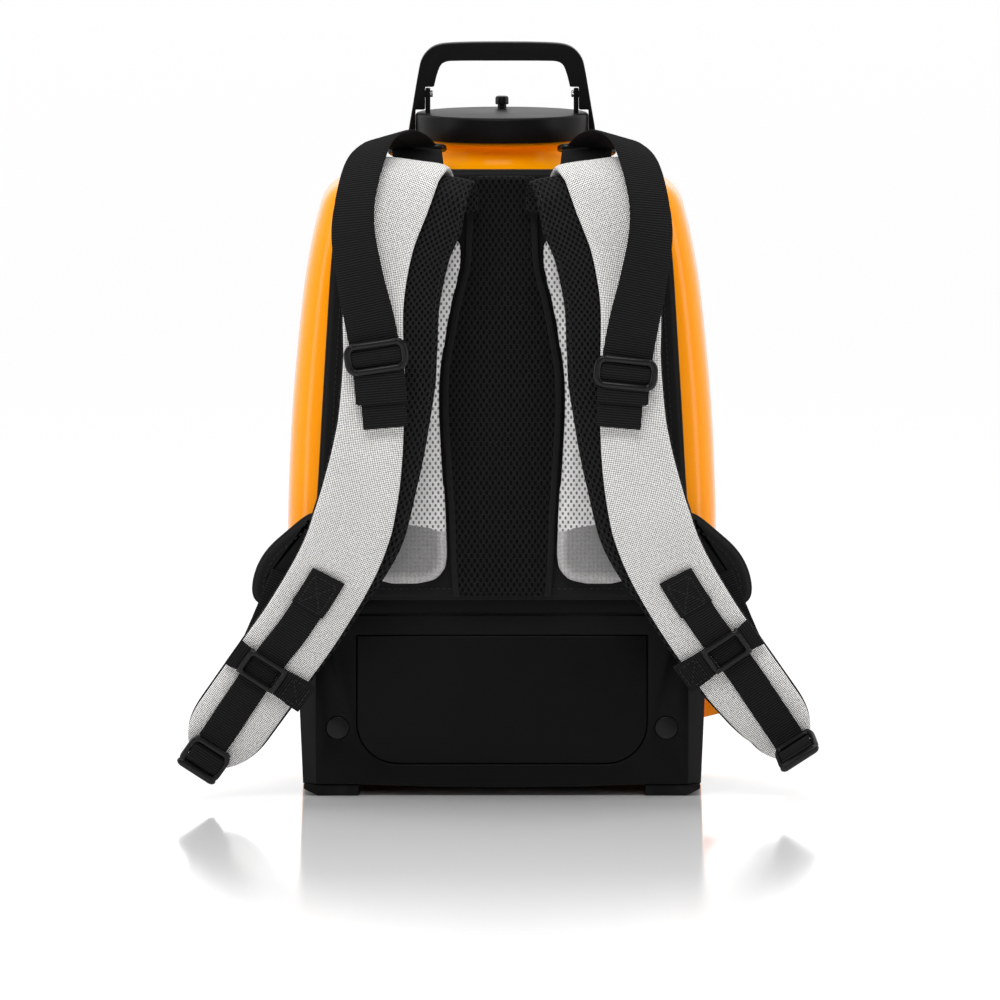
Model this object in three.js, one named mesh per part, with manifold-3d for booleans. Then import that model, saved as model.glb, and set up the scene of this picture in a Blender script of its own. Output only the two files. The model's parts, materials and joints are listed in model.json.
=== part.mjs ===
// Backpack vacuum cleaner: a moulded body on a black base, a lid with a folding handle, and a
// padded carrying harness. Millimetres, +Z up. The harness faces -Y, so the wearer stands there.
// The origin is on the floor, under the middle of the machine's outline. Left is -X.

import * as THREE from 'three';
import { mergeVertices } from 'three/addons/utils/BufferGeometryUtils.js';
import Module from 'manifold-3d';

const wasm = await Module();
wasm.setup();

// ---------------------------------------------------------------- driving dimensions

const gap = 0.3;                 // clearance between neighbouring pieces
const sides = [-1, 1];           // left, then right

// Base
const baseHalfWidth = 155.5;
const baseFront = -62;
const baseBack = 95;
const baseBottom = 9;
const baseTop = 157;
const wall = 4;                  // moulded wall
const edgeChamfer = 14;          // upright front edges of the base
const coverBack = 140;           // outer face of the rear cover

// Orange shell: [height, half width, back] from the deck up to the shoulder
const shellFront = -61.5;
const shellSections = [
  [baseTop + gap, 161, 137],
  [200, 163, 143],
  [255, 161.5, 146],
  [300, 159, 145.5],
  [345, 155, 142.5],
  [385, 150.5, 137],
  [415, 145.5, 130],
  [437, 140.5, 122],
  [453, 135.5, 112],
  [463, 127.5, 101],
  [468.5, 116, 88],
  [470, 102, 74],
];
const shellTop = 470;

// Neck and lid, on one upright axis
const neckY = 30;
const neckRadius = 50;
const neckBore = 44;
const neckTop = 495;
const flangeRadius = 63;
const lidRadius = 65.5;
const lidBottom = neckTop + gap;
const lidTop = 514.7;
const lidWall = 4.5;

// Handle, folding about an axis through two lugs that stand on the lid
const handleAxisZ = 529;
const handleBottom = 497;         // feet of the legs, beside the lid
const handleTop = 568.2;
const handleDepth = 14;
const handleLegOuter = 70.6;
const pinRadius = 2.6;

// Hose inlet at the back
const inletZ = 415;
const hoseBore = 19;             // for a 38 mm hose
const socketEnd = 164;

// Motor, on an upright axis in the base
const motorX = 0;
const motorY = 16;
const motorRadius = 62;

// Harness
const boardBack = -62.4;
const boardFront = -76;
const panelFront = -84;
const padFront = -92;
const strapOuter = 9;            // padding in front of the strap's middle surface
const strapInner = 7.2;          // lining behind it
const webThickness = 2.4;
const lifterWidth = 38;
const lowerWebWidth = 25;

// ---------------------------------------------------------------- materials

const finish = (color, roughness, metalness = 0) => ({ color, roughness, metalness });
const finishes = {
  shellOrange: finish(0xff9900, 0.22),
  housingBlack: finish(0x1c1c1d, 0.45),
  trimBlack: finish(0x141414, 0.38),
  rubber: finish(0x101010, 0.85),
  steel: finish(0xb8bcc0, 0.3, 1),
  copper: finish(0xb06a3c, 0.35, 1),
  greyFabric: finish(0xd6d5d2, 0.9),
  meshFabric: finish(0x1b1b1c, 0.95),
  webbing: finish(0x161616, 0.8),
  filterPaper: finish(0xe6e0d0, 0.95),
  circuit: finish(0x1f5d3a, 0.5),
};

// ---------------------------------------------------------------- geometry helpers

// Turns a geometry's faces outward, whichever way its outline was drawn.
function outward(geometry) {
  const bare = geometry.clone();
  bare.deleteAttribute('normal');
  bare.deleteAttribute('uv');
  const merged = mergeVertices(bare, 1e-4);
  const { position } = merged.attributes;
  const index = merged.index.array;
  const corner = [new THREE.Vector3(), new THREE.Vector3(), new THREE.Vector3()];
  let volume = 0;
  for (let i = 0; i < index.length; i += 3) {
    corner.forEach((point, k) => point.fromBufferAttribute(position, index[i + k]));
    volume += corner[0].dot(corner[1].cross(corner[2]));
  }
  if (volume < 0) {
    for (let i = 0; i < index.length; i += 3) [index[i], index[i + 1]] = [index[i + 1], index[i]];
  }
  return merged;
}

function solidOf(geometry) {
  const closed = outward(geometry);
  return new wasm.Manifold(new wasm.Mesh({
    numProp: 3,
    vertProperties: new Float32Array(closed.attributes.position.array),
    triVerts: new Uint32Array(closed.index.array),
  }));
}

function geometryOf(solid) {
  const mesh = solid.getMesh();
  const geometry = new THREE.BufferGeometry();
  geometry.setAttribute('position', new THREE.BufferAttribute(mesh.vertProperties, 3));
  geometry.setIndex(new THREE.BufferAttribute(mesh.triVerts, 1));
  return geometry;
}

const cut = (body, ...tools) =>
  geometryOf(tools.reduce((solid, tool) => solid.subtract(solidOf(tool)), solidOf(body)));

const join = (body, ...others) =>
  geometryOf(others.reduce((solid, other) => solid.add(solidOf(other)), solidOf(body)));

const common = (body, mould) => geometryOf(solidOf(body).intersect(solidOf(mould)));

const ordered = (a, b) => [Math.min(a, b), Math.max(a, b)];

// A box between two limits on each axis.
function block([x0, x1], [y0, y1], [z0, z1]) {
  const geometry = new THREE.BoxGeometry(x1 - x0, y1 - y0, z1 - z0);
  return geometry.translate((x0 + x1) / 2, (y0 + y1) / 2, (z0 + z1) / 2);
}

// A cylinder about an axis along x, y or z, between two limits on that axis.
function rod(axis, radius, [start, end], centre, segments = 24) {
  const geometry = new THREE.CylinderGeometry(radius, radius, end - start, segments);
  geometry.translate(0, (start + end) / 2, 0);
  if (axis === 'x') geometry.rotateZ(-Math.PI / 2);
  if (axis === 'z') geometry.rotateX(Math.PI / 2);
  return geometry.translate(...centre);
}

// A body of revolution about an upright axis: the profile lists [radius, height].
function turned(profile, centre = [0, 0], segments = 24) {
  const points = profile.map(([radius, height]) => new THREE.Vector2(radius, height));
  const geometry = new THREE.LatheGeometry(points, segments).rotateX(Math.PI / 2);
  return outward(geometry).translate(centre[0], centre[1], 0);
}

// A ring about an upright axis.
const ring = (outer, inner, [z0, z1], centre, segments = 24) =>
  turned([[inner, z0], [outer, z0], [outer, z1], [inner, z1], [inner, z0]], centre, segments);

// Extrudes a shape drawn in X and Z along Y, from y0 back to y1.
function plateXZ(shape, [y0, y1], curveSegments = 6) {
  const options = { depth: y1 - y0, bevelEnabled: false, curveSegments };
  return new THREE.ExtrudeGeometry(shape, options).rotateX(Math.PI / 2).translate(0, y1, 0);
}

// Extrudes a shape drawn in X and Y upwards, from z0 to z1.
function plateXY(shape, [z0, z1], curveSegments = 6) {
  const options = { depth: z1 - z0, bevelEnabled: false, curveSegments };
  return new THREE.ExtrudeGeometry(shape, options).translate(0, 0, z0);
}

const polygon = (points) => new THREE.Shape(points.map(([x, y]) => new THREE.Vector2(x, y)));

// A smooth closed outline through a few points.
function smoothOutline(points, divisions) {
  const corners = points.map(([x, y]) => new THREE.Vector3(x, y, 0));
  const curve = new THREE.CatmullRomCurve3(corners, true, 'catmullrom', 0.5);
  return polygon(curve.getPoints(divisions).slice(0, -1).map(({ x, y }) => [x, y]));
}

const mirrored = (points, side) => points.map(([x, ...rest]) => [x * side, ...rest]);

// A rectangle with rounded corners.
function roundedRectangle([x0, x1], [y0, y1], radius) {
  const shape = new THREE.Shape();
  shape.moveTo(x0 + radius, y0);
  shape.lineTo(x1 - radius, y0);
  shape.absarc(x1 - radius, y0 + radius, radius, -Math.PI / 2, 0);
  shape.lineTo(x1, y1 - radius);
  shape.absarc(x1 - radius, y1 - radius, radius, 0, Math.PI / 2);
  shape.lineTo(x0 + radius, y1);
  shape.absarc(x0 + radius, y1 - radius, radius, Math.PI / 2, Math.PI);
  shape.lineTo(x0, y0 + radius);
  shape.absarc(x0 + radius, y0 + radius, radius, Math.PI, Math.PI * 1.5);
  return shape;
}

// ---------------------------------------------------------------- scene graph

const machine = new THREE.Group();

// Adds one named piece, with its own material, to the machine.
function add(name, geometry, finishName) {
  const look = new THREE.MeshStandardMaterial(finishes[finishName]);
  const mesh = new THREE.Mesh(outward(geometry), look);
  mesh.name = name;
  machine.add(mesh);
  return mesh;
}

// ---------------------------------------------------------------- base

const sideTaper = 4.5;
const taperTop = 100;
const baseBelly = 2.4;
const footInner = 109;
const footFlat = 140;
const footHeelHeight = 5.3;
const panelHalfWidth = 111;
const panelTop = 123;
const panelBottom = 24;
const panelRecess = 4;
const bossX = 125;
const bossZ = 52;
const bossRadius = 8.5;
const switchY = 30;
const switchZ = 92;
const inletSocketY = 62;
const inletSocketZ = 50;

// Outline of the front recess: square top corners and large round bottom corners.
function servicePanel(inset) {
  const halfWidth = panelHalfWidth - inset;
  const bottom = panelBottom + inset;
  const top = panelTop - inset;
  const radius = 32 - inset;
  const shape = new THREE.Shape();
  shape.moveTo(-halfWidth, top);
  shape.lineTo(-halfWidth, bottom + radius);
  shape.absarc(-halfWidth + radius, bottom + radius, radius, Math.PI, Math.PI * 1.5);
  shape.lineTo(halfWidth - radius, bottom);
  shape.absarc(halfWidth - radius, bottom + radius, radius, -Math.PI / 2, 0);
  shape.lineTo(halfWidth, top);
  return shape;
}

// How far a side wall that is halfWidth out at the top has come in at height z.
const sideAt = (halfWidth, z) => halfWidth - sideTaper * Math.max(0, 1 - z / taperTop);

// The front outline shared by the base and its rear cover: sides that come in towards the
// floor, and an underside that bellies down between the feet.
function baseMould(halfWidth, bottom) {
  const right = [[footInner, bottom], [sideAt(halfWidth, bottom), bottom],
    [halfWidth, taperTop], [halfWidth, baseTop + 1]];
  const left = mirrored(right, -1).reverse();
  const belly = [[-footInner / 2, bottom - baseBelly * 0.75], [0, bottom - baseBelly],
    [footInner / 2, bottom - baseBelly * 0.75]];
  return plateXZ(polygon([...right, ...left, ...belly]), [baseFront - 1, coverBack + 1]);
}

function addBase() {
  const outline = polygon([
    [-baseHalfWidth + edgeChamfer, baseFront], [baseHalfWidth - edgeChamfer, baseFront],
    [baseHalfWidth, baseFront + edgeChamfer], [baseHalfWidth, baseBack],
    [-baseHalfWidth, baseBack], [-baseHalfWidth, baseFront + edgeChamfer],
  ]);
  const inside = baseHalfWidth - wall;
  const hollow = block([-inside + 3, inside - 3], [baseFront + 12, baseBack + 1],
    [baseBottom + wall, baseTop - wall]);
  const recess = plateXZ(servicePanel(0), [baseFront - 1, baseFront + panelRecess]);
  const airHole = rod('z', 42, [baseTop - wall - 1, baseTop + 1], [motorX, motorY, 0]);
  const groove = block([-132, 132], [baseFront - 1, baseFront + 1.5], [138, 140]);
  const bosses = sides.map((side) => rod('y', bossRadius + gap,
    [baseFront - 1, baseFront + 3], [side * bossX, 0, bossZ], 20));
  const switchPocket = block([-baseHalfWidth - 1, -baseHalfWidth + 5],
    [switchY - 15, switchY + 15], [switchZ - 11, switchZ + 11]);
  const inletPocket = block([-baseHalfWidth - 1, -inside + 20],
    [inletSocketY - 14, inletSocketY + 14], [inletSocketZ - 11, inletSocketZ + 11]);
  const body = common(plateXY(outline, [0, baseTop]), baseMould(baseHalfWidth, baseBottom));
  add('base_housing', cut(body, hollow, recess, airHole, groove, ...bosses, switchPocket,
    inletPocket), 'housingBlack');

  const panelDepth = [baseFront + 1, baseFront + panelRecess - gap];
  add('front_panel', plateXZ(servicePanel(0.8), panelDepth), 'housingBlack');

  for (const side of sides) {
    const word = side < 0 ? 'left' : 'right';
    const heel = sideAt(baseHalfWidth, footHeelHeight) - 0.5;
    const foot = polygon(mirrored([
      [footInner, 0], [footFlat, 0], [heel, footHeelHeight], [heel, baseBottom - gap],
      [footInner, baseBottom - gap],
    ], side));
    add(`foot_${word}`, plateXZ(foot, [baseFront + 2, baseBack - 4]), 'rubber');
    const cap = rod('y', bossRadius, [baseFront - 1, baseFront + 3 - gap],
      [side * bossX, 0, bossZ], 20);
    add(`boss_cap_${word}`, cap, 'trimBlack');
  }

  // The rocker lies in its pocket and tips about the pocket's middle.
  const rockerHalf = 8;
  const rocker = polygon([
    [-baseHalfWidth + 3.2, -rockerHalf], [-baseHalfWidth + 0.4, -rockerHalf],
    [-baseHalfWidth + 1.6, 0], [-baseHalfWidth + 0.4, rockerHalf],
    [-baseHalfWidth + 3.2, rockerHalf],
  ]);
  const lever = plateXZ(rocker, [switchY - 13, switchY + 13]).translate(0, 0, switchZ);
  add('power_switch', lever, 'trimBlack');

  addMainsInlet(-sideAt(baseHalfWidth, inletSocketZ) - 0.5, -inside + 20 - gap);
}

// The three-pin inlet that a mains lead plugs into, set into the left side of the base.
function addMainsInlet(outside, inside) {
  const shellBox = block([outside, inside], [inletSocketY - 13.6, inletSocketY + 13.6],
    [inletSocketZ - 10.6, inletSocketZ + 10.6]);
  const cavity = block([outside - 1, inside - 4], [inletSocketY - 11.6, inletSocketY + 11.6],
    [inletSocketZ - 8, inletSocketZ + 8]);
  const pins = [[-7, -2], [7, -2], [0, 3]].map(([y, z]) => block([outside + 7, inside - 2],
    [inletSocketY + y - 1, inletSocketY + y + 1], [inletSocketZ + z - 2, inletSocketZ + z + 2]));
  add('mains_inlet', join(cut(shellBox, cavity), ...pins), 'trimBlack');
}

// ---------------------------------------------------------------- rear cover and exhaust

const coverHalfWidth = 156.5;
const doorHalfWidth = 88;
const doorBottom = 36;
const doorTop = 128;
const doorThickness = 5;
const doorFrame = 6;

function addRearCover() {
  const round = 34;
  const outline = new THREE.Shape();
  outline.moveTo(-coverHalfWidth, baseBack + gap);
  outline.lineTo(coverHalfWidth, baseBack + gap);
  outline.lineTo(coverHalfWidth, coverBack - round);
  outline.absarc(coverHalfWidth - round, coverBack - round, round, 0, Math.PI / 2);
  outline.lineTo(-coverHalfWidth + round, coverBack);
  outline.absarc(-coverHalfWidth + round, coverBack - round, round, Math.PI / 2, Math.PI);
  const inside = coverHalfWidth - wall - 20;
  const hollow = block([-inside, inside], [baseBack - 1, coverBack - 14],
    [baseBottom, baseTop - wall]);
  const opening = block([-doorHalfWidth - 1, doorHalfWidth + 1],
    [coverBack - doorThickness - 1, coverBack + 1], [doorBottom - 1, doorTop + 1]);
  const duct = block([-doorHalfWidth + doorFrame, doorHalfWidth - doorFrame],
    [coverBack - 20, coverBack], [doorBottom + doorFrame, doorTop - doorFrame]);
  const body = common(plateXY(outline, [0, baseTop - gap]),
    baseMould(coverHalfWidth, baseBottom - 4));
  add('rear_cover', cut(body, hollow, opening, duct), 'shellOrange');

  const slot = (z) => block([-doorHalfWidth + 12, doorHalfWidth - 12],
    [coverBack - doorThickness - 1, coverBack + 1], [z, z + 4]);
  const slotPitch = 10;
  const slotCount = Math.floor((doorTop - doorBottom - 16) / slotPitch);
  const slots = Array.from({ length: slotCount }, (_, i) => slot(doorBottom + 10 + i * slotPitch));
  const door = block([-doorHalfWidth, doorHalfWidth], [coverBack - doorThickness, coverBack],
    [doorBottom, doorTop]);
  add('exhaust_door', cut(door, ...slots), 'trimBlack');

  add('exhaust_filter', block([-doorHalfWidth - 6, doorHalfWidth + 6],
    [baseBack + 6, coverBack - 15], [doorBottom - 4, doorTop + 4]), 'filterPaper');

  // A wedge on the right side, for hanging the coiled lead on.
  const onSide = (z) => [sideAt(coverHalfWidth, z) + gap, z];
  const wedge = polygon([onSide(45.5), [coverHalfWidth + 12, 49], onSide(62.5)]);
  add('cord_hook', plateXZ(wedge, [baseBack + 5, baseBack + 17]), 'shellOrange');
}

// ---------------------------------------------------------------- main shell

// A closed body through horizontal sections: boxy towards the front, rounded at the back.
function sectionedBody(sections, front, segments) {
  const levels = sections.length - 1;
  const geometry = new THREE.CylinderGeometry(1, 1, 1, segments, levels);
  const { position } = geometry.attributes;
  const power = (value, exponent) => Math.sign(value) * Math.abs(value) ** exponent;
  for (let i = 0; i < position.count; i += 1) {
    const [z, halfWidth, back] = sections[Math.round((position.getY(i) + 0.5) * levels)];
    const middle = front + (back - front) * 0.45;
    const [across, along] = [position.getX(i), position.getZ(i)];
    const depth = along < 0 ? middle - front : back - middle;
    const roundness = along < 0 ? 0.3 : 0.66;
    position.setXYZ(i, halfWidth * power(across, roundness), middle + depth * power(along, roundness), z);
  }
  return outward(geometry);
}

function addShell() {
  const inner = shellSections.slice(0, -2).map(([z, halfWidth, back], i) => (
    [i === 0 ? z - 1 : z - wall, halfWidth - wall, back - wall]));
  const skin = sectionedBody(shellSections, shellFront, 48);
  const hollow = sectionedBody(inner, shellFront + wall, 28);
  const neckHole = rod('z', neckBore + 2, [400, shellTop + 5], [0, neckY, 0], 24);
  const inletHole = rod('y', 30 + gap, [80, 170], [0, 0, inletZ], 24);
  add('main_shell', cut(skin, hollow, neckHole, inletHole), 'shellOrange');

  const deck = sectionedBody([[baseTop + gap, 156, 132], [baseTop + 6, 156, 132]],
    shellFront + wall + 1, 28);
  const airHole = rod('z', 40, [baseTop - 1, baseTop + 10], [motorX, motorY, 0]);
  add('deck_plate', cut(deck, airHole), 'housingBlack');

  const collar = turned([
    [neckBore, shellTop + gap], [neckRadius + 12, shellTop + gap], [neckRadius + 6, shellTop + 3],
    [neckRadius, shellTop + 9], [neckRadius, neckTop - 5], [flangeRadius - 3, neckTop - 3],
    [flangeRadius - 3, neckTop], [neckBore + 4, neckTop], [neckBore + 4, neckTop - 4],
    [neckBore, neckTop - 4], [neckBore, shellTop + gap],
  ], [0, neckY], 32);
  add('neck_collar', collar, 'shellOrange');
}

addBase();
addRearCover();
addShell();

// ---------------------------------------------------------------- lid and handle

const knobY = neckY + 45;
const lugInner = 53.2;           // inner face of each lug, from the middle
const lugOuter = 58.2;
const lugTop = handleAxisZ + 4.4;
const lugHalfDepth = 4;

function addLid() {
  const body = turned([
    [0, lidTop], [lidRadius - 2, lidTop], [lidRadius, lidTop - 1.5], [lidRadius, lidBottom],
    [lidRadius - lidWall, lidBottom], [lidRadius - lidWall, lidTop - 6], [0, lidTop - 6],
  ], [0, neckY], 36);
  const lugs = sides.map((side) => block(ordered(lugInner * side, lugOuter * side),
    [neckY - lugHalfDepth, neckY + lugHalfDepth], [lidTop - 1, lugTop]));
  const pinHoles = sides.map((side) => rod('x', pinRadius + gap, [-6, 6],
    [side * (lugInner + lugOuter) / 2, neckY, handleAxisZ], 12));
  const knobHole = rod('z', 3.8, [lidTop - 8, lidTop + 1], [0, knobY, 0], 12);
  add('lid', cut(join(body, ...lugs), ...pinHoles, knobHole), 'trimBlack');

  add('lid_gasket', ring(neckBore + 12, neckBore + 5, [neckTop + 0.2, lidTop - 6.3],
    [0, neckY]), 'rubber');

  const knob = turned([
    [0, lidTop - 5.5], [3.4, lidTop - 5.5], [3.4, lidTop + 3.2], [5.3, lidTop + 3.2],
    [5.3, lidTop + 8.5], [4.2, lidTop + 9.6], [0, lidTop + 9.6],
  ], [0, knobY], 8);
  add('lid_button', knob, 'trimBlack');
}

// The bail: a flat arch. Each leg is notched round its lug, and thins down beside the lid.
function addHandle() {
  const legInner = lidRadius + 0.6;
  const legWide = lugOuter + 0.5;
  const overLid = lidTop + 3.5;                // the wide part of a leg swings clear of the lid
  const overLug = handleAxisZ + 6.6;
  const archTop = handleTop - 14;
  const side = (sign) => mirrored([
    [legInner, handleBottom], [handleLegOuter, handleBottom], [handleLegOuter - 0.4, 501],
    [68.3, 514.7], [66.4, 530], [63.4, 546], [62, 552],
  ], sign);
  const inside = (sign) => mirrored([
    [48.4, 545], [50.6, overLug], [legWide, overLug], [legWide, overLid], [legInner, overLid],
  ], sign);
  const shape = new THREE.Shape();
  const right = side(1);
  const left = side(-1).reverse();
  shape.moveTo(...right[0]);
  right.slice(1).forEach((point) => shape.lineTo(...point));
  shape.quadraticCurveTo(59.6, handleTop - 0.8, 43, handleTop);
  shape.lineTo(-43, handleTop);
  shape.quadraticCurveTo(-59.6, handleTop - 0.8, ...left[0]);
  left.slice(1).forEach((point) => shape.lineTo(...point));
  inside(-1).reverse().forEach((point) => shape.lineTo(...point));
  shape.quadraticCurveTo(-47.2, archTop, -38, archTop);
  shape.lineTo(38, archTop);
  shape.quadraticCurveTo(47.2, archTop, ...inside(1)[0]);
  inside(1).slice(1).forEach((point) => shape.lineTo(...point));

  const pinEnd = 63.5;
  const depth = [neckY - handleDepth / 2, neckY + handleDepth / 2];
  const pinHoles = sides.map((sign) => rod('x', pinRadius + gap,
    ordered(sign * (legWide - 2), sign * (pinEnd + gap)), [0, neckY, handleAxisZ], 12));
  add('handle', cut(plateXZ(shape, depth, 5), ...pinHoles), 'trimBlack');

  for (const sign of sides) {
    const span = ordered(sign * (lugInner - 0.6), sign * pinEnd);
    const word = sign < 0 ? 'left' : 'right';
    add(`handle_pin_${word}`, rod('x', pinRadius, span, [0, neckY, handleAxisZ], 12), 'steel');
  }
}

// ---------------------------------------------------------------- air path and motor

function addAirPath() {
  const flange = turned([
    [21.6, 104], [30, 104], [30, 138.5], [33, 138.5], [33, 143], [21.6, 143], [21.6, 104],
  ]);
  add('inlet_flange', faceBack(flange), 'housingBlack');

  const socket = turned([
    [hoseBore, 108], [21.2, 108], [21.2, 143.6], [28, 143.6], [28, 151], [26.5, socketEnd],
    [hoseBore, socketEnd], [hoseBore, 108],
  ]);
  add('hose_socket', faceBack(socket), 'trimBlack');

  const basket = turned([
    [0, 330], [38, 330], [neckBore - 1.5, 336], [neckBore - 0.8, neckTop - 3.7],
    [neckBore + 3.5, neckTop - 3.7], [neckBore + 3.5, neckTop - 0.5],
    [neckBore - 3, neckTop - 0.5], [neckBore - 3.6, 340], [36, 333], [0, 333],
  ], [0, neckY]);
  add('filter_basket', basket, 'trimBlack');

  const bag = turned([
    [0, 334], [30, 336], [36, 348], [37, 400], [36.5, 450], [34, 478], [24, 486], [0, 488],
  ], [0, neckY], 20);
  add('filter_bag', bag, 'filterPaper');
}

// Turns a body drawn about the upright axis so that its axis points to the back.
const faceBack = (geometry) => geometry.rotateX(-Math.PI / 2)
  .translate(0, 0, inletZ);

function addMotor() {
  const centre = [motorX, motorY];
  const floor = baseBottom + wall;
  const mountHeight = 6;
  const canBottom = floor + mountHeight + gap * 2;
  const canTop = baseTop - wall - mountHeight - gap * 2;
  add('motor_mount_lower', ring(motorRadius, 44, [floor + gap, floor + gap + mountHeight],
    centre), 'rubber');
  add('motor_mount_upper', ring(motorRadius, 44,
    [baseTop - wall - gap - mountHeight, baseTop - wall - gap], centre), 'rubber');

  const can = turned([
    [14, canBottom], [motorRadius, canBottom], [motorRadius, canTop], [14, canTop],
    [14, canTop - 3], [motorRadius - 3, canTop - 3], [motorRadius - 3, canBottom + 3],
    [14, canBottom + 3], [14, canBottom],
  ], centre);
  const vents = [0, 1, 2, 3].map((quarter) => {
    const angle = Math.PI / 4 + (quarter * Math.PI) / 2;
    const place = [motorX + 38 * Math.cos(angle), motorY + 38 * Math.sin(angle), 0];
    return rod('z', 11, [canBottom - 1, canTop + 1], place, 10);
  });
  add('motor_housing', cut(can, ...vents), 'steel');

  const shaft = 4;
  add('motor_rotor', turned([
    [0, canBottom - 2], [shaft, canBottom - 2], [shaft, 34], [52, 34], [52, 38], [14, 46],
    [14, 60], [30, 60], [30, 104], [shaft, 108], [shaft, canTop + 2], [0, canTop + 2],
  ], centre, 20), 'copper');
  for (const [word, z] of [['lower', canBottom], ['upper', canTop - 3]]) {
    add(`bearing_${word}`, ring(14 - gap, shaft + gap, [z - 2, z + 5], centre, 16), 'steel');
  }

  const board = block([82, 85], [motorY - 40, motorY + 40], [40, 120]);
  const parts = [[-22, 60], [6, 84], [18, 52]].map(([y, z]) => (
    block([84, 97], [motorY + y, motorY + y + 16], [z, z + 20])));
  add('circuit_board', join(board, ...parts), 'circuit');
}

addLid();
addHandle();
addAirPath();
addMotor();

// ---------------------------------------------------------------- harness: back panel

function addBackPanel() {
  const rightHalf = [
    [176, 144], [188, 150], [190, 161], [186, 177], [177, 191], [163, 203], [150, 214],
  ];
  const boardHalf = [
    [141, 151], [141, 217], [139, 245], [136, 300], [133, 350], [130, 400], [126, 445],
    [118, 466], [100, 478],
  ];
  const board = polygon([...boardHalf, ...mirrored(boardHalf, -1).reverse()]);
  add('harness_board', plateXZ(board, [boardFront, boardBack]), 'meshFabric');

  for (const side of sides) {
    const word = side < 0 ? 'left' : 'right';
    const wing = polygon(mirrored([[141 + gap, 150], ...rightHalf, [141 + gap, 218]], side));
    add(`side_wing_${word}`, plateXZ(wing, [boardFront - 2, boardBack]), 'meshFabric');

    const pad = smoothOutline(mirrored([
      [31, 431], [30, 405], [38, 375], [47, 320], [47, 290], [41.5, 215], [40, 176],
      [52, 163], [95, 163], [107, 178], [104, 235], [90, 310], [66, 380], [44, 425],
    ], side), 42);
    add(`lumbar_pad_${word}`, plateXZ(pad, [padFront, boardFront - gap]), 'greyFabric');
  }

  const meshHalf = [[36, 154], [38, 175], [39, 212], [44.5, 295], [44, 325], [35, 376],
    [27, 405], [26, 432], [24, 474]];
  const mesh = polygon([...meshHalf, ...mirrored(meshHalf, -1).reverse()]);
  add('back_mesh_panel', plateXZ(mesh, [panelFront, boardFront - gap]), 'meshFabric');
}

// ---------------------------------------------------------------- harness: straps

// A curve with a frame at each place on it: along it, across it and out of its outer face.
// roll(t) turns the band about its own length, in degrees: + sends its outer edge backwards.
class Route {
  constructor(points, side, roll = () => 0) {
    const places = mirrored(points, side).map((point) => new THREE.Vector3(...point));
    this.curve = new THREE.CatmullRomCurve3(places, false, 'centripetal');
    this.side = side;
    this.roll = roll;
  }

  // Position t runs from 0 to 1 along the length.
  frame(t) {
    const inside = THREE.MathUtils.clamp(t, 0, 1);
    const along = this.curve.getTangentAt(inside);
    const centre = this.curve.getPointAt(inside)
      .addScaledVector(along, (t - inside) * this.curve.getLength());
    const out = along.clone().cross(new THREE.Vector3(1, 0, 0)).normalize();
    out.applyAxisAngle(along, THREE.MathUtils.degToRad(this.roll(inside)) * -this.side);
    const across = along.clone().cross(out).normalize();
    return { centre, along, out, across };
  }
}

// A flat band bent along a route, between t0 and t1, from an inner to an outer face.
// width(t) is its whole width, and shift(t) moves it towards the middle of the machine.
function bentBand(route, { span: [t0, t1], faces: [inner, outer], width, shift = () => 0, steps }) {
  const geometry = new THREE.BoxGeometry(1, 1, 1, 3, steps, 1);
  const { position } = geometry.attributes;
  for (let i = 0; i < position.count; i += 1) {
    const t = t0 + (t1 - t0) * (position.getY(i) + 0.5);
    const { centre, out, across } = route.frame(t);
    const sideways = position.getX(i) * width(t) + shift(t) * route.side;
    const lift = position.getZ(i) < 0 ? inner : outer;
    const place = centre.addScaledVector(across, sideways).addScaledVector(out, lift);
    position.setXYZ(i, place.x, place.y, place.z);
  }
  return outward(geometry);
}

// Joins a few [t, value] pairs into a function of t.
function steppedValue(pairs) {
  return (t) => {
    const next = pairs.findIndex(([place]) => place >= t);
    if (next < 0) return pairs[pairs.length - 1][1];
    if (next === 0) return pairs[0][1];
    const [[startT, start], [endT, end]] = [pairs[next - 1], pairs[next]];
    return THREE.MathUtils.lerp(start, end, (t - startT) / (endT - startT));
  };
}

// Evenly spaced places on the line between two points, both ends included.
const straightLine = (start, end, steps) => Array.from({ length: steps + 1 }, (_, i) => (
  start.map((value, axis) => value + ((end[axis] - value) * i) / steps)));

// Middle surface of the right shoulder strap, from the board's top edge to its lower end.
const strapPoints = [
  [62, -88, 446], [63.5, -93, 466], [65, -108, 479], [70, -124, 472], [79, -135, 452],
  [88, -140, 425], [95, -142, 384], [97, -141.5, 324], [100, -139.5, 284], [105, -137, 250],
  [114, -133, 212], [125, -128.5, 184], ...straightLine([151, -119.5, 139], [224, -95, 34], 4),
];
const strapRoll = steppedValue([[0, 0], [0.06, -8], [0.12, -6], [0.22, 0]]);
const strapEnd = 0.97;           // the padding stops short of the ladder lock
const layerGap = 2.6;             // between the padding and its lining
const strapWidth = steppedValue([[0, 56], [0.15, 59], [0.27, 51], [0.36, 47], [0.46, 50],
  [0.54, 57], [0.6, 61], [0.92, 59], [0.97, 46]]);
const liningReach = steppedValue([[0, 15], [0.07, 19], [0.11, 24], [0.15, 28], [0.25, 27],
  [0.35, 25], [0.46, 18], [0.54, 12], [0.62, 9], [0.7, 2], [1, 0]]);
const lowerWebSpan = [0.683, 0.96];
const lowerWebAside = steppedValue([[0.68, 2], [0.85, 5.5], [1, 3.5]]);   // outwards
const chestSliderAt = { left: 0.847, right: 0.811 };

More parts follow.
